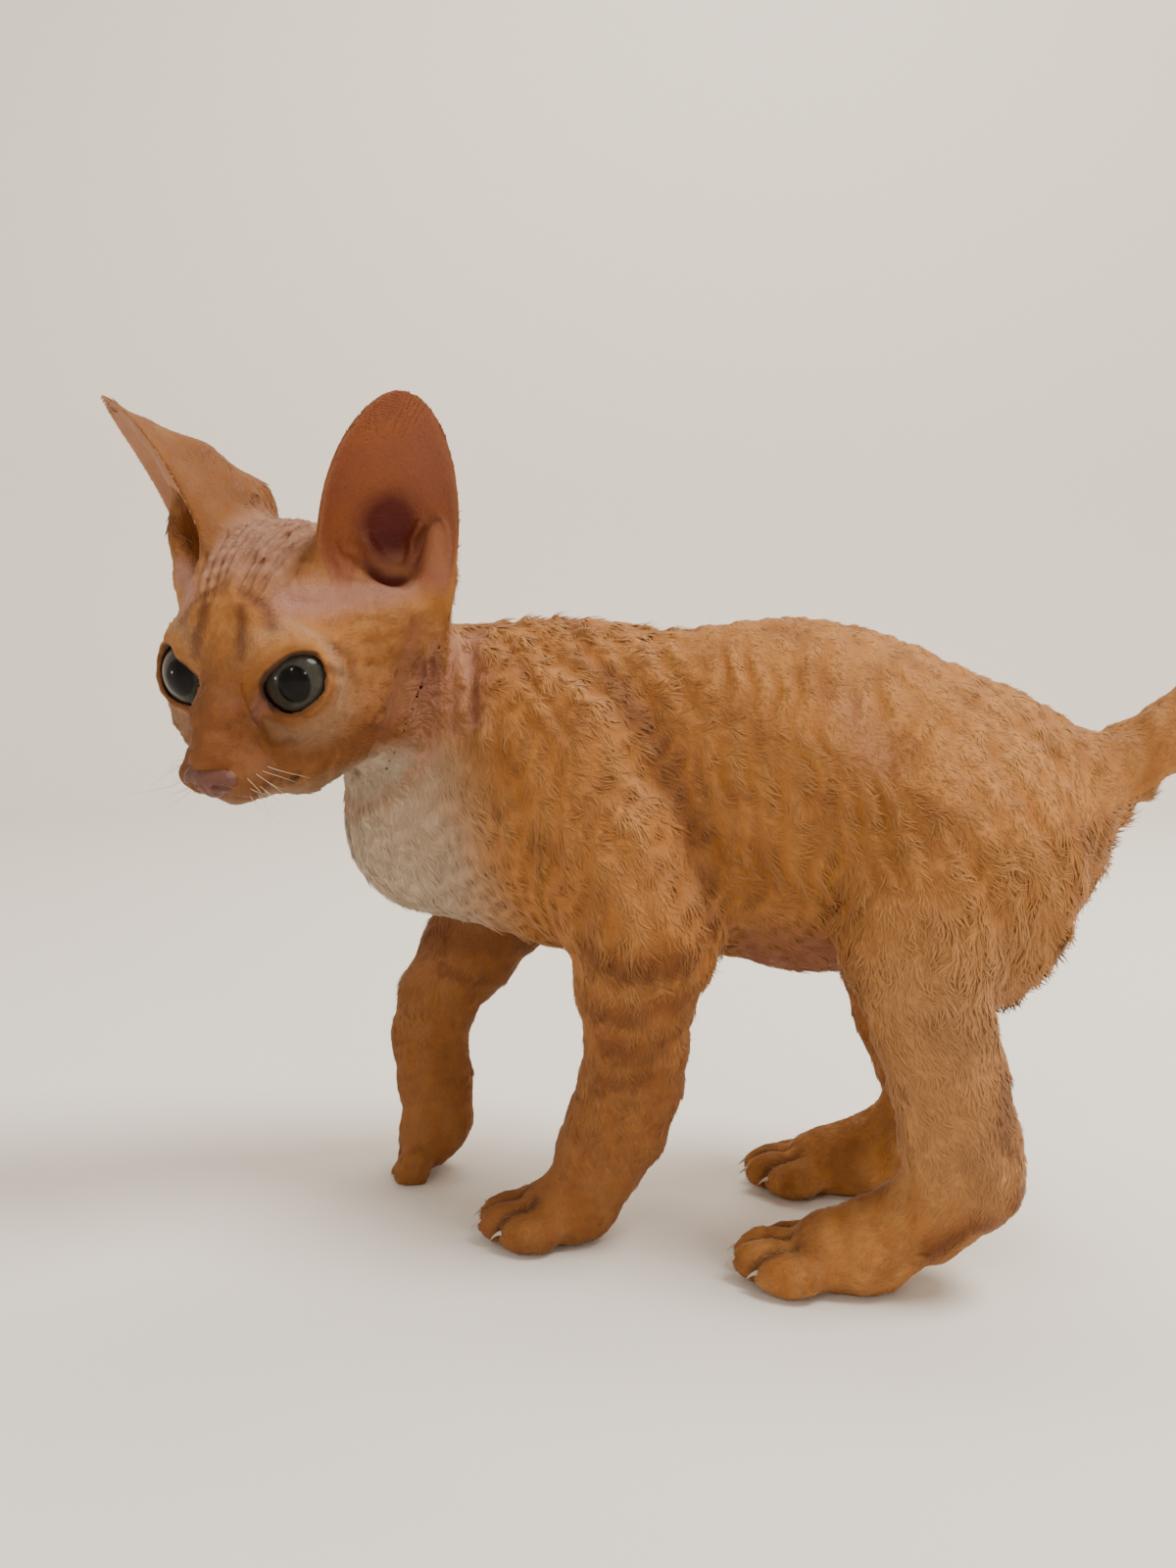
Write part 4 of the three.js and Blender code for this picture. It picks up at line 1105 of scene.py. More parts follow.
def coat_material(colours):
    shader = Shader(
        "kitten_coat", Specular_IOR_Level=0.3, Roughness=0.62, Sheen_Weight=0.12, Sheen_Roughness=0.5
    )
    tip = shader.mark("tip")
    # Tips of the tufts lighter or darker at random, and lighter where the ripples' painted light falls
    base = coat_colour(shader, colours, (shader.mark("strand") - 0.3) * 0.7 * tip)
    # Painted shade in folds
    base = shader.mixed(shader.mark("fold") * 0.6, base, rgb(colours.deep_skin_and_fold_shade))
    # Tufts darker towards the root: painted shade among the tufts
    base = shader.mixed((1 - tip) * 0.35, base, rgb(colours.rust))
    return shader.finish(Base_Color=base)


# Settings


def colour_property(name, description, value):
    return bpy.props.FloatVectorProperty(
        name=name, description=description, default=value, subtype="COLOR", min=0.0, max=1.0, size=3
    )


class KittenSizes(bpy.types.PropertyGroup):
    """Sizes of the skin and the coat."""

    body_step: bpy.props.FloatProperty(
        name="Body step", description="Cell size of the body's skin", default=0.9 * MM, unit="LENGTH"
    )
    head_step: bpy.props.FloatProperty(
        name="Head step", description="Cell size of the head's skin", default=0.42 * MM, unit="LENGTH"
    )
    tuft_count: bpy.props.IntProperty(
        name="Tufts", description="Number of tufts in the whole coat", default=142000, min=1000
    )
    tuft_length: bpy.props.FloatProperty(
        name="Tuft length", description="Length of a tuft on the back", default=3.7 * MM, unit="LENGTH"
    )
    tuft_width: bpy.props.FloatProperty(
        name="Tuft width", description="Width of a tuft on the back", default=0.34 * MM, unit="LENGTH"
    )
    whisker_length: bpy.props.FloatProperty(
        name="Whisker length", description="Length of the longest whisker", default=11 * MM, unit="LENGTH"
    )


class KittenColours(bpy.types.PropertyGroup):
    """Colours of the coat, the skin and the eyes."""

    coat: colour_property("Coat", "Orange of the coat", (0.305, 0.108, 0.015))
    # Paler hair, also the painted light on the crests of the ripples
    pale_and_lit_coat: colour_property("Light coat", "Paler hair of the coat", (0.46, 0.205, 0.055))
    # Bars and streaks; also painted shade on the face and at the roots of the tufts
    rust: colour_property("Rust", "Bars and streaks of the coat", (0.12, 0.032, 0.003))
    cream: colour_property("Cream", "Throat, chest and chin", (0.44, 0.35, 0.25))
    bare_skin: colour_property("Bare skin", "Thinly furred skin", (0.37, 0.18, 0.125))
    # Deeper skin, also the painted shade in folds and under the belly
    deep_skin_and_fold_shade: colour_property("Deep skin", "Skin in folds", (0.19, 0.06, 0.04))
    ear_lining: colour_property("Ear lining", "Inside of the ears", (0.31, 0.095, 0.022))
    # Reddish skin of the ear, darkened as painted shade in its depth
    ear_canal_and_shade: colour_property("Ear canal", "Depth of the ears", (0.085, 0.008, 0.004))
    nose: colour_property("Nose", "Leather of the nose", (0.13, 0.042, 0.026))
    # Dark edges; also painted shade between the toes and above the upper lids
    dark: colour_property("Dark edges", "Rims of the lids, line of the mouth", (0.022, 0.008, 0.006))
    iris: colour_property("Iris", "Grey-green ring of the eye", (0.048, 0.046, 0.036))
    claw: colour_property("Claws", "Horn of the claws", (0.42, 0.33, 0.26))


class KittenStage(bpy.types.PropertyGroup):
    """Floor, light and camera."""

    floor: colour_property("Floor", "Pale floor and backdrop", (0.82, 0.77, 0.70))
    key_power: bpy.props.FloatProperty(
        name="Key light", description="Power of the light above", default=21.0, unit="POWER"
    )
    fill_power: bpy.props.FloatProperty(
        name="Catch lights", description="Power of each small lamp by the camera", default=1.2, unit="POWER"
    )
    wall_power: bpy.props.FloatProperty(
        name="Wall light", description="Power of the light on the backdrop", default=22.0, unit="POWER"
    )
    lens: bpy.props.FloatProperty(
        name="Lens", description="Focal length of the camera in millimetres", default=27.0, unit="CAMERA"
    )


# Operators


class KITTEN_OT_skin(bpy.types.Operator):
    """Builds the one skin of the whole kitten, with its ears, lids, mouth and folds"""

    bl_idname = "kitten.skin"
    bl_label = "Skin"

    REPLACED = (
        "head",
        "neck",
        "torso",
        "tail",
        "ear_left",
        "ear_right",
        "foreleg_left",
        "foreleg_right",
        "hindleg_left",
        "hindleg_right",
        "forepaw_left",
        "forepaw_right",
        "hindpaw_left",
        "hindpaw_right",
    )

    def execute(self, context):
        sizes = context.scene.kitten_sizes
        cut = np.array([5, -69, 126.0])
        way = unit(np.array([[0.6, -0.72, 0.34]]))[0]
        overlap = 0.3

        def part(low, high, step, side):
            """The skin in a box, as far as the cut between head and body."""
            points, faces = surface(skin, low, high, step / MM)
            past = side * ((points - cut) @ way) - overlap
            return points, faces[past[faces].max(axis=1) < 0]

        body, body_faces = part((-48, -108, -1), (48, 186, 200), sizes.body_step, 1)
        head, head_faces = part((-16, -130, 88), (74, -38, 200), sizes.head_step, -1)
        spots = np.concatenate([body, head])
        faces = np.concatenate([body_faces, head_faces + len(body)])
        used = np.unique(faces)
        renumber = np.full(len(spots), -1)
        renumber[used] = np.arange(len(used))
        spots = spots[used]
        faces = renumber[faces]
        made = mesh_object("skin", spots, faces, skin_material(context.scene.kitten_colours))
        keep_marks(made, markings(spots))
        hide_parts(*self.REPLACED)
        return {"FINISHED"}


def chain_flow(joints, p):
    """Distance from a chain's surface and the way along it, for each point."""
    best = np.full(len(p), FAR)
    way = np.zeros((len(p), 3))
    for a, b, along, t, away in links(joints, p):
        distance = length_of(away) - (a[3] + (b[3] - a[3]) * t)
        nearer = distance < best
        best[nearer] = distance[nearer]
        way[nearer] = along / np.linalg.norm(along)
    return best, way


def paw_end(at):
    """A short chain from a paw's heel to its toes."""
    heel = at.world((0, 6, 6))
    toe = at.world((0, -14, 4))
    return [(*heel, 9.0), (*toe, 8.0)]


FLOW_CHAINS = [
    FORELEG_LEFT,
    FORELEG_RIGHT,
    HINDLEG_LEFT,
    HINDLEG_RIGHT,
    METATARSUS_LEFT,
    METATARSUS_RIGHT,
    TAIL,
    *(paw_end(at) for at, _ in PAWS),
]
# The first of them, which guide the hair only below the trunk
UPPER_LEGS = FLOW_CHAINS[:4]


def lie_of_coat(p):
    """The way in which the hair lies at kitten points, before it is laid on the skin."""
    fall = step_down(p[:, 2], 85, 140)
    rump = step_up(p[:, 1], 50, 85)
    front = step_down(p[:, 1], -50, -10)
    down = 0.25 + 0.55 * fall + 0.5 * rump + 0.5 * front
    way = np.stack([np.zeros(len(p)), 1 - 0.45 * front, -down], axis=1)
    total = unit(way)
    for joints in FLOW_CHAINS:
        near, along = chain_flow(joints, p)
        pull = np.exp(-np.maximum(near, 0) / 2.5) * 3.0
        if joints in UPPER_LEGS:
            pull = pull * step_down(p[:, 2], 66, 92)
        total += along * pull[:, None]
    q = HEAD.local(p)
    on_head = step_down(length_of(q - HEAD_MIDDLE), 32, 39)
    side = np.sign(q[:, 0]) * step_up(np.abs(q[:, 0]), 2, 14)
    back = np.stack([0.35 * side, np.ones(len(p)), 0.25 - 0.5 * step_down(q[:, 2], -12, 4)], axis=1)
    total = total * (1 - on_head)[:, None] + unit(back @ HEAD.spin.T) * on_head[:, None]
    for ear in EARS:
        t, across, front, held = ear.read(q)
        on_ear = step_up(t, 0.3, 0.5) * (np.abs(front) < 4) * (q[:, 0] * ear.side > 0)
        up = ear.axis * np.array([ear.side, 1, 1]) @ HEAD.spin.T
        total = total * (1 - on_ear)[:, None] + up * on_ear[:, None]
    return unit(total)


def coat_plan(p, marks):
    """How the coat grows at kitten points: length, width, lift and number, each as a share of the back's."""
    q = HEAD.local(p)
    on_head = step_down(length_of(q - HEAD_MIDDLE), 33, 41)
    muzzle = step_down(length_of(q - np.array([0, -30, -10])), 9, 17)
    low = step_down(p[:, 2], 30, 70)
    feet = step_down(p[:, 2], 14, 30)
    rump = step_up(p[:, 1], 48, 80) * step_up(p[:, 2], 45, 70) * step_down(p[:, 1], 92, 104)
    size = 1 + 0.24 * rump - 0.30 * low - 0.27 * feet
    size = size * (1 - on_head) + 0.46 * on_head
    size = size * (1 - 0.45 * muzzle)
    size *= 1 - 0.25 * marks["bare"]
    lift = (0.16 + 0.03 * rump) * (1 - on_head) + 0.20 * on_head
    number = 1 + 0.35 * low + 0.3 * feet
    number = number * (1 - on_head) + 2.2 * on_head
    canal = step_down(EAR_CANALS[0](q), 2, 3.5)
    thin = np.clip(marks["bare"] * 0.7 + 3 * marks["lining"] + 3 * canal, 0, 1)
    on_ear = step_up(q[:, 2], 26, 32)
    size *= 1 - 0.3 * on_ear
    lift *= 1 - 0.85 * on_ear
    for ear in EARS:
        t, side, _, held = ear.read(q)
        margin = (t > 0.2) & (ear.span(held) - np.abs(side) < 2.5) & (q[:, 0] * ear.side > 0)
        size = np.where(margin, size * 0.4, size)
        number *= np.where((t > 0.93) & (q[:, 0] * ear.side > 0), 0, 1)
    number *= (1 - thin) * (1 - 0.9 * marks["dark"])
    reach, far, _ = lid_reach(mirrored(q))
    clear = (reach > 1.07) | (far > 14)
    size *= 1 - 0.6 * step_down(reach, 1.1, 1.7) * step_down(far, 11, 14)
    number *= np.where(clear & (p[:, 2] > 1.2), 1, 0)
    nose = length_of((q - np.array([0, -34.5, -11.5])) * np.array([0.85, 1, 1.1])) > 5.4
    return size, lift, number * nose


def scatter(made, count, weights_of, chance):
    """Seeded spots on an object's faces, in kitten points, with normals and corner weights."""
    mesh = made.data
    corners = np.empty(len(mesh.polygons) * 4, dtype=np.int32)
    mesh.loops.foreach_get("vertex_index", corners)
    corners = corners.reshape(-1, 4)
    spots = np.empty(len(mesh.vertices) * 3, dtype=np.float32)
    mesh.vertices.foreach_get("co", spots)
    spots = to_kitten(spots.reshape(-1, 3).astype(float))
    normals = np.empty(len(mesh.vertices) * 3, dtype=np.float32)
    mesh.vertex_normals.foreach_get("vector", normals)
    normals = normals.reshape(-1, 3)
    a, b, c, d = (spots[corners[:, n]] for n in range(4))
    area = 0.5 * length_of(np.cross(c - a, d - b))
    middle = (a + b + c + d) / 4
    weight = area * weights_of(middle)
    line = np.cumsum(weight)
    face = np.searchsorted(line, chance.uniform(0, line[-1], count))
    face = np.minimum(face, len(line) - 1)
    u = chance.uniform(size=(count, 1))
    v = chance.uniform(size=(count, 1))
    shares = np.concatenate([(1 - u) * (1 - v), u * (1 - v), u * v, (1 - u) * v], axis=1)
    at = np.einsum("nk,nkj->nj", shares, spots[corners[face]])
    facing = unit(np.einsum("nk,nkj->nj", shares, normals[corners[face]]))
    return at, facing


ATLAS = 4


def unwrap(p):
    """A place for each kitten point on an unwrap of the body: along and round the part that it lies on."""
    chains = [
        [(0, -60, 100, 20), (-4, 86, 100, 20)],
        FORELEG_LEFT,
        FORELEG_RIGHT,
        HINDLEG_LEFT + METATARSUS_LEFT[1:],
        HINDLEG_RIGHT + METATARSUS_RIGHT[1:],
        TAIL,
        [(*HEAD.world((0, -20, -6)), 10), (*HEAD.world((0, 10, 6)), 22)],
        [(*HEAD.world((26, 11, 22)), 9), (*HEAD.world((35, 8, 57)), 4)],
        [(*HEAD.world((-20, 14, 22)), 9), (*HEAD.world((-42, 14, 56)), 4)],
    ]
    best = np.full(len(p), FAR)
    place = np.zeros((len(p), 2))
    for n, joints in enumerate(chains):
        run = 0.0
        whole = sum(np.linalg.norm(np.subtract(b[:3], a[:3])) for a, b in zip(joints, joints[1:]))
        for a, b in zip(joints, joints[1:]):
            start = np.array(a[:3], dtype=float)
            along = np.array(b[:3], dtype=float) - start
            size = np.linalg.norm(along)
            way = along / size
            away = p - start
            t = np.clip(away @ way, -10, size + 10)
            out = away - t[:, None] * way
            distance = length_of(out) - a[3]
            side = np.cross(way, [0.31, 0.2, 0.93])
            side /= np.linalg.norm(side)
            up = np.cross(side, way)
            angle = np.arctan2(out @ up, out @ side) / (2 * math.pi) + 0.5
            nearer = distance < best
            best[nearer] = distance[nearer]
            u = np.clip((run + t + 10) / (whole + 20), 0, 1)
            place[nearer, 0] = ((n % ATLAS) + 0.03 + 0.94 * u[nearer]) / ATLAS
            place[nearer, 1] = ((n // ATLAS) + 0.03 + 0.94 * angle[nearer]) / ATLAS
            run += size
    return place


# Rings of a tuft as shares of its length, and how wide each is; a last corner is its tip
TUFT_RINGS = ((0.0, 0.8), (0.46, 1.0))
TUFT_CORNERS = 7
TUFT_ROOT_FACES = ((2, 1, 0), (5, 2, 0), (3, 5, 0), (4, 1, 2), (5, 4, 2), (3, 0, 1), (4, 3, 1))
TUFT_TIP_FACES = ((6, 5, 3), (6, 4, 5), (6, 3, 4))
TUFT_FACES = TUFT_ROOT_FACES + TUFT_TIP_FACES
TUFT_PATCH = 0.0015
PIECE_TUFTS = 19400
COAT_MARKS = ("rust", "cream", "wave", "fold")


def tuft_arrays(root, facing, way, long, wide, lift, bend):
    """Corners, triangles, soft normals and places along and across for many thin curved tufts."""
    count = len(root)
    side = unit(np.cross(facing, way))
    spots = np.empty((count, TUFT_CORNERS, 3))
    normals = np.empty((count, TUFT_CORNERS, 3))
    place = np.empty((count, TUFT_CORNERS, 2))

    def centre(t):
        rise = long * (lift * t - 0.55 * lift * t * t) - 0.2 * wide
        curl = long * bend * t * t
        return root + way * (long * t)[:, None] + facing * rise[:, None] + side * curl[:, None]

    for n, (t, broad) in enumerate(TUFT_RINGS):
        middle = centre(t)
        half = (0.5 * broad * wide)[:, None]
        for corner, (across, up) in enumerate(((-1, 0), (1, 0), (0, 0.75))):
            spots[:, 3 * n + corner] = middle + half * (across * side + up * facing)
            normals[:, 3 * n + corner] = facing + 0.6 * across * side
            place[:, 3 * n + corner] = (2 * t - 1, across)
    spots[:, -1] = centre(1.0)
    normals[:, -1] = facing + 0.2 * way
    place[:, -1] = (1, 0)
    triangles = (np.array(TUFT_FACES)[None] + TUFT_CORNERS * np.arange(count)[:, None, None]).reshape(-1, 3)
    return spots.reshape(-1, 3), triangles, unit(normals.reshape(-1, 3)), place.reshape(-1, 2)


def lay_coat(name, made, count, sizes, material, chance):
    """Tufts over a skin, in joined pieces that stay small."""
    root, facing = scatter(made, count, lambda p: coat_plan(p, markings(p))[2], chance)
    marks = markings(root)
    size, lift, _ = coat_plan(root, marks)
    way = lie_of_coat(root)
    side = np.cross(facing, way)
    drift = 0.30 * swell(root, 11, 31) + 0.30 * swell(root, 4, 32)
    way = way + side * (drift + chance.normal(0, 0.16, count))[:, None]
    way -= facing * np.einsum("ij,ij->i", way, facing)[:, None]
    way = unit(way)
    wave = marks["wave"] * 2 - 1
    long = sizes.tuft_length / MM * size * chance.uniform(0.65, 1.25, count)
    wide = sizes.tuft_width / MM * (0.5 + 0.5 * size) * chance.uniform(0.75, 1.25, count)
    lift = lift * (1 + 0.8 * wave) * chance.uniform(0.5, 1.4, count)
    bend = 0.35 * swell(root, 5, 33) + chance.normal(0, 0.14, count)
    # Lightness of each tuft's tip: random, and higher where the ripples' painted light falls
    strand = np.clip(0.45 + 0.3 * wave + chance.normal(0, 0.32, count), 0, 1)
    unwrapped = unwrap(root)
    for first in range(0, count, PIECE_TUFTS):
        part = slice(first, min(first + PIECE_TUFTS, count))
        arrays = (values[part] for values in (root, facing, way, long, wide, lift, bend))
        spots, triangles, normals, place = tuft_arrays(*arrays)
        piece = mesh_object(f"{name}_{first // PIECE_TUFTS + 1:02d}", spots, triangles, material)
        piece.data.normals_split_custom_set_from_vertices(normals)
        carried = {key: np.repeat(marks[key][part], TUFT_CORNERS) for key in COAT_MARKS}
        carried["tip"] = (place[:, 0] + 1) / 2
        carried["strand"] = np.repeat(strand[part], TUFT_CORNERS)
        keep_marks(piece, carried)
        patch = np.repeat(unwrapped[part], TUFT_CORNERS, axis=0) + place * TUFT_PATCH
        layer = piece.data.uv_layers.new(name="OFBake")
        layer.data.foreach_set("uv", patch[triangles.ravel()].astype(np.float32).ravel())


class KITTEN_OT_coat(bpy.types.Operator):
    """Lays the curly coat over the skin, in tufts that follow the lie of the hair"""

    bl_idname = "kitten.coat"
    bl_label = "Coat"

    def execute(self, context):
        sizes = context.scene.kitten_sizes
        chance = np.random.default_rng(SEED)
        material = coat_material(context.scene.kitten_colours)
        lay_coat("coat", bpy.data.objects["skin"], sizes.tuft_count, sizes, material, chance)
        return {"FINISHED"}


def ball(centre, radii, rings=32, steps=48, spin=None):
    """Vertices and four-cornered faces of a ball, its pole along -Y."""
    polar = np.linspace(0, math.pi, rings + 1)
    round_it = np.linspace(0, 2 * math.pi, steps, endpoint=False)
    a, b = np.meshgrid(polar, round_it, indexing="ij")
    out = np.stack([np.sin(a) * np.cos(b), -np.cos(a), np.sin(a) * np.sin(b)], axis=-1).reshape(-1, 3)
    out = out * np.array(radii)
    if spin is not None:
        out = out @ spin.T
    faces = []
    for i in range(rings):
        for j in range(steps):
            k = (j + 1) % steps
            faces.append((i * steps + j, i * steps + k, (i + 1) * steps + k, (i + 1) * steps + j))
    return out + np.array(centre), np.array(faces)[:, ::-1]


# Where the left and the right eye look, as turn and lift in the head's frame
GAZE = {1: (20.0, 12.0), -1: (2.0, 13.0)}
IRIS_RADIUS = 6.6
# How far the iris dims between its fibres
IRIS_DIM = 0.45
# The pupil's width as a share of its height
PUPIL_TALL = 0.84
PUPIL_BLACK = (0.001, 0.001, 0.001)
CORNEA_RADIUS = 6.9
CORNEA_RISE = 0.55


def eye_material(colours):
    """A dark pupil in a ring of fine fibres, under a wet clear coat."""
    shader = Shader(
        "kitten_eye",
        Roughness=0.3,
        Specular_IOR_Level=0.05,
        Coat_Weight=0.5,
        Coat_Roughness=0.02,
        Coat_IOR=1.3,
    )
    dim = tuple(IRIS_DIM * v for v in rgb(colours.iris))
    iris = shader.mixed(shader.noise(900.0, 3.0), rgb(colours.iris), dim)
    iris = shader.mixed(shader.edge("iris_reach", 0.88, 1.06), iris, rgb(colours.dark))
    base = shader.mixed(shader.edge("pupil_reach", 0.47, 0.54), PUPIL_BLACK, iris)
    return shader.finish(Base_Color=base)




class KITTEN_OT_eyes(bpy.types.Operator):
    """Builds the eyeballs, with a wide pupil in a grey-green iris"""

    bl_idname = "kitten.eyes"
    bl_label = "Eyes"

    def execute(self, context):
        material = eye_material(context.scene.kitten_colours)
        for name, side in (("left", 1), ("right", -1)):
            centre = np.array(EYE_PLACE) * np.array([side, 1, 1])
            gaze, lift = GAZE[side]
            spin = turn(gaze, -lift)
            spots, faces = ball((0, 0, 0), (EYE_RADIUS - 0.1,) * 3, 48, 64)
            reach = np.hypot(spots[:, 0], spots[:, 2]) / IRIS_RADIUS
            pupil = np.hypot(spots[:, 0], PUPIL_TALL * spots[:, 2]) / IRIS_RADIUS
            pupil = np.where(spots[:, 1] < 0, pupil, 2.0)
            reach = np.where(spots[:, 1] < 0, reach, 2.0)
            dome = np.clip(1 - (reach * IRIS_RADIUS / CORNEA_RADIUS) ** 2, 0, 1) * (spots[:, 1] < 0)
            spots[:, 1] -= CORNEA_RISE * dome
            spots = HEAD.world(spots @ spin.T + centre)
            made = mesh_object(f"eye_{name}_ball", spots, faces, material)
            keep_marks(made, {"iris_reach": reach, "pupil_reach": pupil})
            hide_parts(f"eye_{name}")
        return {"FINISHED"}


NOSE = [
    (egg((0, -32.8, -11.0), (5.0, 3.4, 3.0)), 0.01),
    (egg((0, -32.4, -13.2), (2.6, 2.6, 2.6)), 1.5),
    (egg((4.0, -32.6, -11.4), (2.4, 2.5, 2.3)), 1.2),
    (egg((-4.0, -32.6, -11.4), (2.4, 2.5, 2.3)), 1.2),
]
NOSTRIL = [(2.4, -35.2, -12), (3.6, -34.8, -12.1), (5.4, -33.6, -13.2)]


def nose_field(q):
    distance = blended(NOSE, q)
    face = mirrored(q)
    distance = soft_max(distance, 0.75 - stroke(NOSTRIL, face), 0.7)
    distance += 0.5 * brush([[(0, -36, -11.5), (0, -35, -16)]], 0.5, face)
    return distance - 0.05 * swell(q, 1.1, 41, 1)


class KITTEN_OT_nose(bpy.types.Operator):
    """Builds the leather of the nose with its nostrils"""

    bl_idname = "kitten.nose"
    bl_label = "Nose"

    def execute(self, context):
        colours = context.scene.kitten_colours
        shader = Shader("kitten_nose", Specular_IOR_Level=0.4)
        base = shader.mixed(shader.noise(500.0), rgb(colours.nose), tuple(0.6 * v for v in rgb(colours.nose)))
        material = shader.finish(
            Base_Color=base, Roughness=0.5, Normal=shader.bump(shader.noise(3200.0), 0.0002, 0.6)
        )
        spots, faces = surface(nose_field, (-8, -38, -17), (8, -28, -6), 0.3)
        made = mesh_object("nose_leather", HEAD.world(spots), faces, material)
        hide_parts("nose")
        return {"FINISHED"}


def tube(spots, radii, sides=6):
    """Vertices and four-cornered faces of a tapered tube through points, closed at both ends."""
    spots = np.asarray(spots, dtype=float)
    along = unit(np.gradient(spots, axis=0))
    side = unit(np.cross(along, [0.31, 0.62, 0.72]))
    up = np.cross(along, side)
    angles = np.linspace(0, 2 * math.pi, sides, endpoint=False)
    ring = side[:, None] * np.cos(angles)[None, :, None] + up[:, None] * np.sin(angles)[None, :, None]
    rows = spots[:, None] + ring * np.asarray(radii)[:, None, None]
    faces = []
    for i in range(len(spots) - 1):
        for j in range(sides):
            k = (j + 1) % sides
            faces.append((i * sides + j, i * sides + k, (i + 1) * sides + k, (i + 1) * sides + j))
    return rows.reshape(-1, 3), np.array(faces)


def joined(pieces):
    """Several (vertices, faces) as one."""
    spots, faces, first = [], [], 0
    for piece_spots, piece_faces in pieces:
        spots.append(piece_spots)
        faces.append(piece_faces + first)
        first += len(piece_spots)
    return np.concatenate(spots), np.concatenate(faces)


CLAW_LENGTH = 2.6


class KITTEN_OT_claws(bpy.types.Operator):
    """Builds the small claws at the tips of the toes"""

    bl_idname = "kitten.claws"
    bl_label = "Claws"

    def execute(self, context):
        shader = Shader("kitten_claw", Roughness=0.35, Specular_IOR_Level=0.5)
        material = shader.finish(Base_Color=rgb(context.scene.kitten_colours.claw))
        claws = []
        for at, _ in PAWS:
            for x, y, z in TOES:
                t = np.linspace(0, 1, 6)
                line = np.stack([x + 0 * t, y - 6.4 - CLAW_LENGTH * t, z + 0.2 - 1.6 * t**2], axis=1)
                line = at.world(line)
                line[:, 2] = np.maximum(line[:, 2], 0.7)
                claws.append(tube(line, 0.62 * (1 - 0.93 * t), 8))
        spots, faces = joined(claws)
        mesh_object("claws", spots, faces, material)
        return {"FINISHED"}


class KITTEN_OT_whiskers(bpy.types.Operator):
    """Builds the short, curled whiskers of the cheeks"""

    bl_idname = "kitten.whiskers"
    bl_label = "Whiskers"

    PER_SIDE = 10

    def execute(self, context):
        chance = np.random.default_rng(SEED + 5)
        shader = Shader("kitten_whisker", Roughness=0.4)
        material = shader.finish(Base_Color=(0.62, 0.48, 0.32))
        longest = context.scene.kitten_sizes.whisker_length / MM
        hairs = []
        for side in (1, -1):
            for n in range(self.PER_SIDE):
                row, place = n % 3, (n // 3) / 4
                root = np.array([7.2 + 3.4 * place, -31.5 + 5.5 * place, -10.5 - 2.6 * row])
                way = unit(np.array([[0.85, -0.35 + 0.5 * place, -0.25 - 0.12 * row]]))[0]
                long = longest * chance.uniform(0.45, 1.0)
                t = np.linspace(0, 1, 10)
                curl = chance.normal(size=3) * 0.22
                line = root + np.outer(t * long, way) + np.outer(long * t * t, curl)
                line[:, 2] -= 0.12 * long * t**2
                line[:, 0] += 0.5 * np.sin(t * 6) * chance.uniform(-1, 1)
                line[:, 0] *= side
                hairs.append(tube(HEAD.world(line), 0.07 * (1 - 0.8 * t), 5))
        spots, faces = joined(hairs)
        mesh_object("whiskers", spots, faces, material)
        return {"FINISHED"}


# The stage

# Small lamps on the camera's side, which the eyes mirror as points
CATCH_LIGHTS = {
    "catch_right": (0.83, 0.62, 0.48),
    "catch_high": (0.99, -0.21, 0.69),
    "catch_left": (0.50, -1.05, 0.14),
}
CATCH_SIZE = 0.12
CAMERA_PLACE = (273.1, 37.6, 120.0)
CAMERA_YAW = 102.0
CAMERA_PITCH = 3.4
FLOOR_RADIUS = 1.3
BACKDROP_RADIUS = 0.5
BACKDROP_HEIGHT = 2.6
SWEEP_STEPS = 12
KEY = {"place": (0.10, 0.60, 1.15), "target": (0, 0.03, 0.09), "size": 0.6, "colour": (1, 0.97, 0.92)}
WALL = {"place": (-0.7, 0.0, 1.6), "target": (-1.7, 0, 0.5), "size": 1.2, "colour": (1, 0.93, 0.84)}
CATCH_TARGET = (0, -0.1, 0.13)
SKY_COLOUR = (0.86, 0.86, 0.88, 1)
SKY_STRENGTH = 0.53


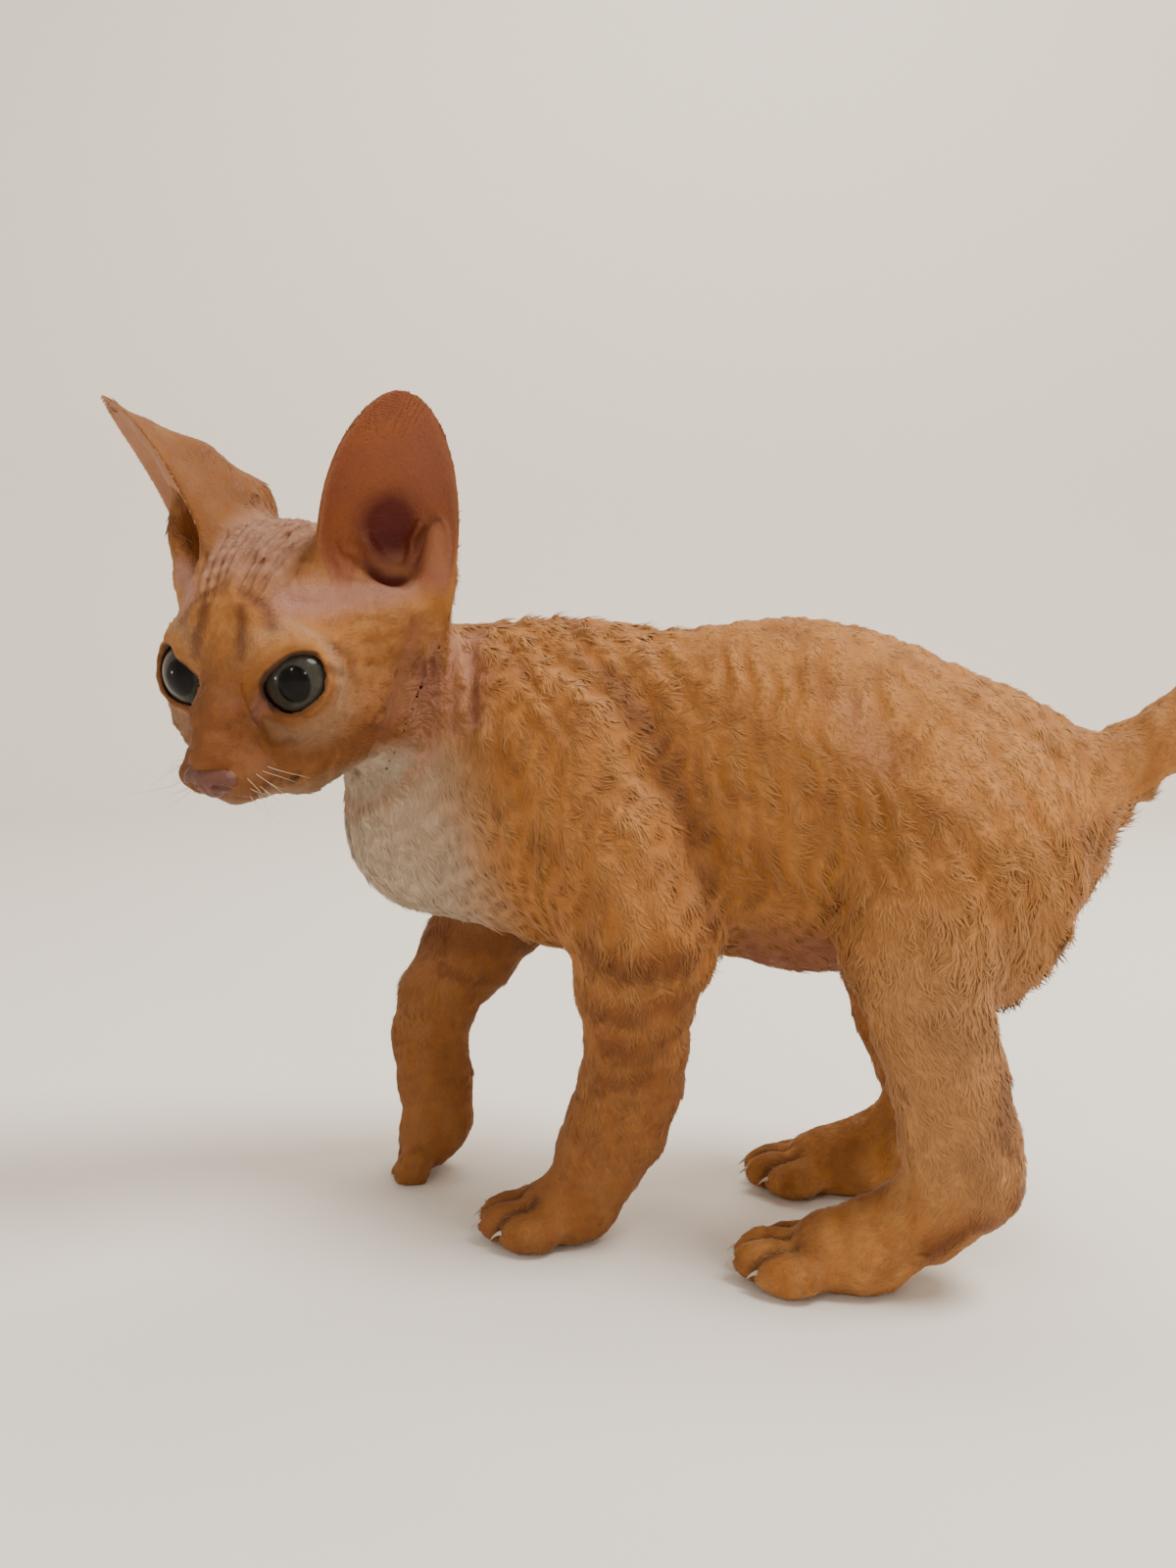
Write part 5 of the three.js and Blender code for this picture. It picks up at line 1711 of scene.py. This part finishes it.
class KITTEN_OT_stage(bpy.types.Operator):
    """Sets the floor with its backdrop, the soft light and the camera"""

    bl_idname = "kitten.stage"
    bl_label = "Stage"

    def light(self, name, power, place, target, size, colour=(1, 1, 1)):
        lamp = bpy.data.lights.new(name, "AREA")
        lamp.shape = "DISK"
        lamp.size = size
        lamp.energy = power
        lamp.color = colour
        made = bpy.data.objects.new(name, lamp)
        made.location = place
        made.rotation_euler = (Vector(target) - Vector(place)).to_track_quat("-Z", "Y").to_euler()
        bpy.context.scene.collection.objects.link(made)

    def floor(self, colour):
        """A floor that rises in a smooth sweep to a backdrop all round the kitten."""
        profile = [(0.0, 0.0), (FLOOR_RADIUS, 0.0)]
        for n in range(1, SWEEP_STEPS + 1):
            bend = math.radians(90 * n / SWEEP_STEPS)
            radius = FLOOR_RADIUS + BACKDROP_RADIUS * math.sin(bend)
            profile.append((radius, BACKDROP_RADIUS * (1 - math.cos(bend))))
        profile.append((FLOOR_RADIUS + BACKDROP_RADIUS, BACKDROP_HEIGHT))
        steps = 96
        spots, faces = [], []
        for radius, rise in profile:
            for j in range(steps):
                angle = 2 * math.pi * j / steps
                spots.append((radius * math.cos(angle), radius * math.sin(angle), rise))
        for i in range(len(profile) - 1):
            for j in range(steps):
                k = (j + 1) % steps
                faces.append((i * steps + j, (i + 1) * steps + j, (i + 1) * steps + k, i * steps + k))
        mesh = bpy.data.meshes.new("floor")
        mesh.from_pydata(spots, [], faces)
        mesh.validate()
        for face in mesh.polygons:
            face.use_smooth = True
        shader = Shader("pale_floor", Roughness=0.9, Specular_IOR_Level=0.2)
        mesh.materials.append(shader.finish(Base_Color=colour))
        made = bpy.data.objects.new("floor", mesh)
        bpy.context.scene.collection.objects.link(made)

    def execute(self, context):
        scene = context.scene
        stage = scene.kitten_stage
        self.floor(rgb(stage.floor))
        self.light("key", stage.key_power, **KEY)
        self.light("wall", stage.wall_power, **WALL)
        for name, place in CATCH_LIGHTS.items():
            self.light(name, stage.fill_power, place, CATCH_TARGET, CATCH_SIZE)
        world = bpy.data.worlds.new("studio")
        world.use_nodes = True
        sky = world.node_tree.nodes["Background"]
        sky.inputs["Color"].default_value = SKY_COLOUR
        sky.inputs["Strength"].default_value = SKY_STRENGTH
        scene.world = world
        camera = bpy.data.cameras.new("camera")
        camera.lens = stage.lens
        camera.clip_start = 0.01
        made = bpy.data.objects.new("camera", camera)
        made.location = to_frame(np.array(CAMERA_PLACE))
        made.rotation_euler = (math.radians(90 - CAMERA_PITCH), 0, math.radians(CAMERA_YAW))
        scene.collection.objects.link(made)
        scene.camera = made
        return {"FINISHED"}


class KITTEN_PT_panel(bpy.types.Panel):
    """The kitten's pieces in the sidebar"""

    bl_label = "Devon rex kitten"
    bl_idname = "KITTEN_PT_panel"
    bl_space_type = "VIEW_3D"
    bl_region_type = "UI"
    bl_category = "Kitten"

    def draw(self, context):
        for operator in OPERATORS:
            self.layout.operator(operator.bl_idname)
        for group in GROUPS:
            settings = getattr(context.scene, group)
            box = self.layout.box()
            for name in settings.__annotations__:
                box.prop(settings, name)


OPERATORS = (
    KITTEN_OT_skin,
    KITTEN_OT_coat,
    KITTEN_OT_eyes,
    KITTEN_OT_nose,
    KITTEN_OT_claws,
    KITTEN_OT_whiskers,
    KITTEN_OT_stage,
)
GROUPS = {"kitten_sizes": KittenSizes, "kitten_colours": KittenColours, "kitten_stage": KittenStage}


def register():
    for kind in (*GROUPS.values(), *OPERATORS, KITTEN_PT_panel):
        bpy.utils.register_class(kind)
    for name, group in GROUPS.items():
        setattr(bpy.types.Scene, name, bpy.props.PointerProperty(type=group))


def unregister():
    for name in GROUPS:
        delattr(bpy.types.Scene, name)
    for kind in reversed((*GROUPS.values(), *OPERATORS, KITTEN_PT_panel)):
        bpy.utils.unregister_class(kind)


def main():
    """Builds every piece in order."""
    register()
    bpy.ops.kitten.skin()
    bpy.ops.kitten.coat()
    bpy.ops.kitten.eyes()
    bpy.ops.kitten.nose()
    bpy.ops.kitten.claws()
    bpy.ops.kitten.whiskers()
    bpy.ops.kitten.stage()


if __name__ == "__main__":
    main()
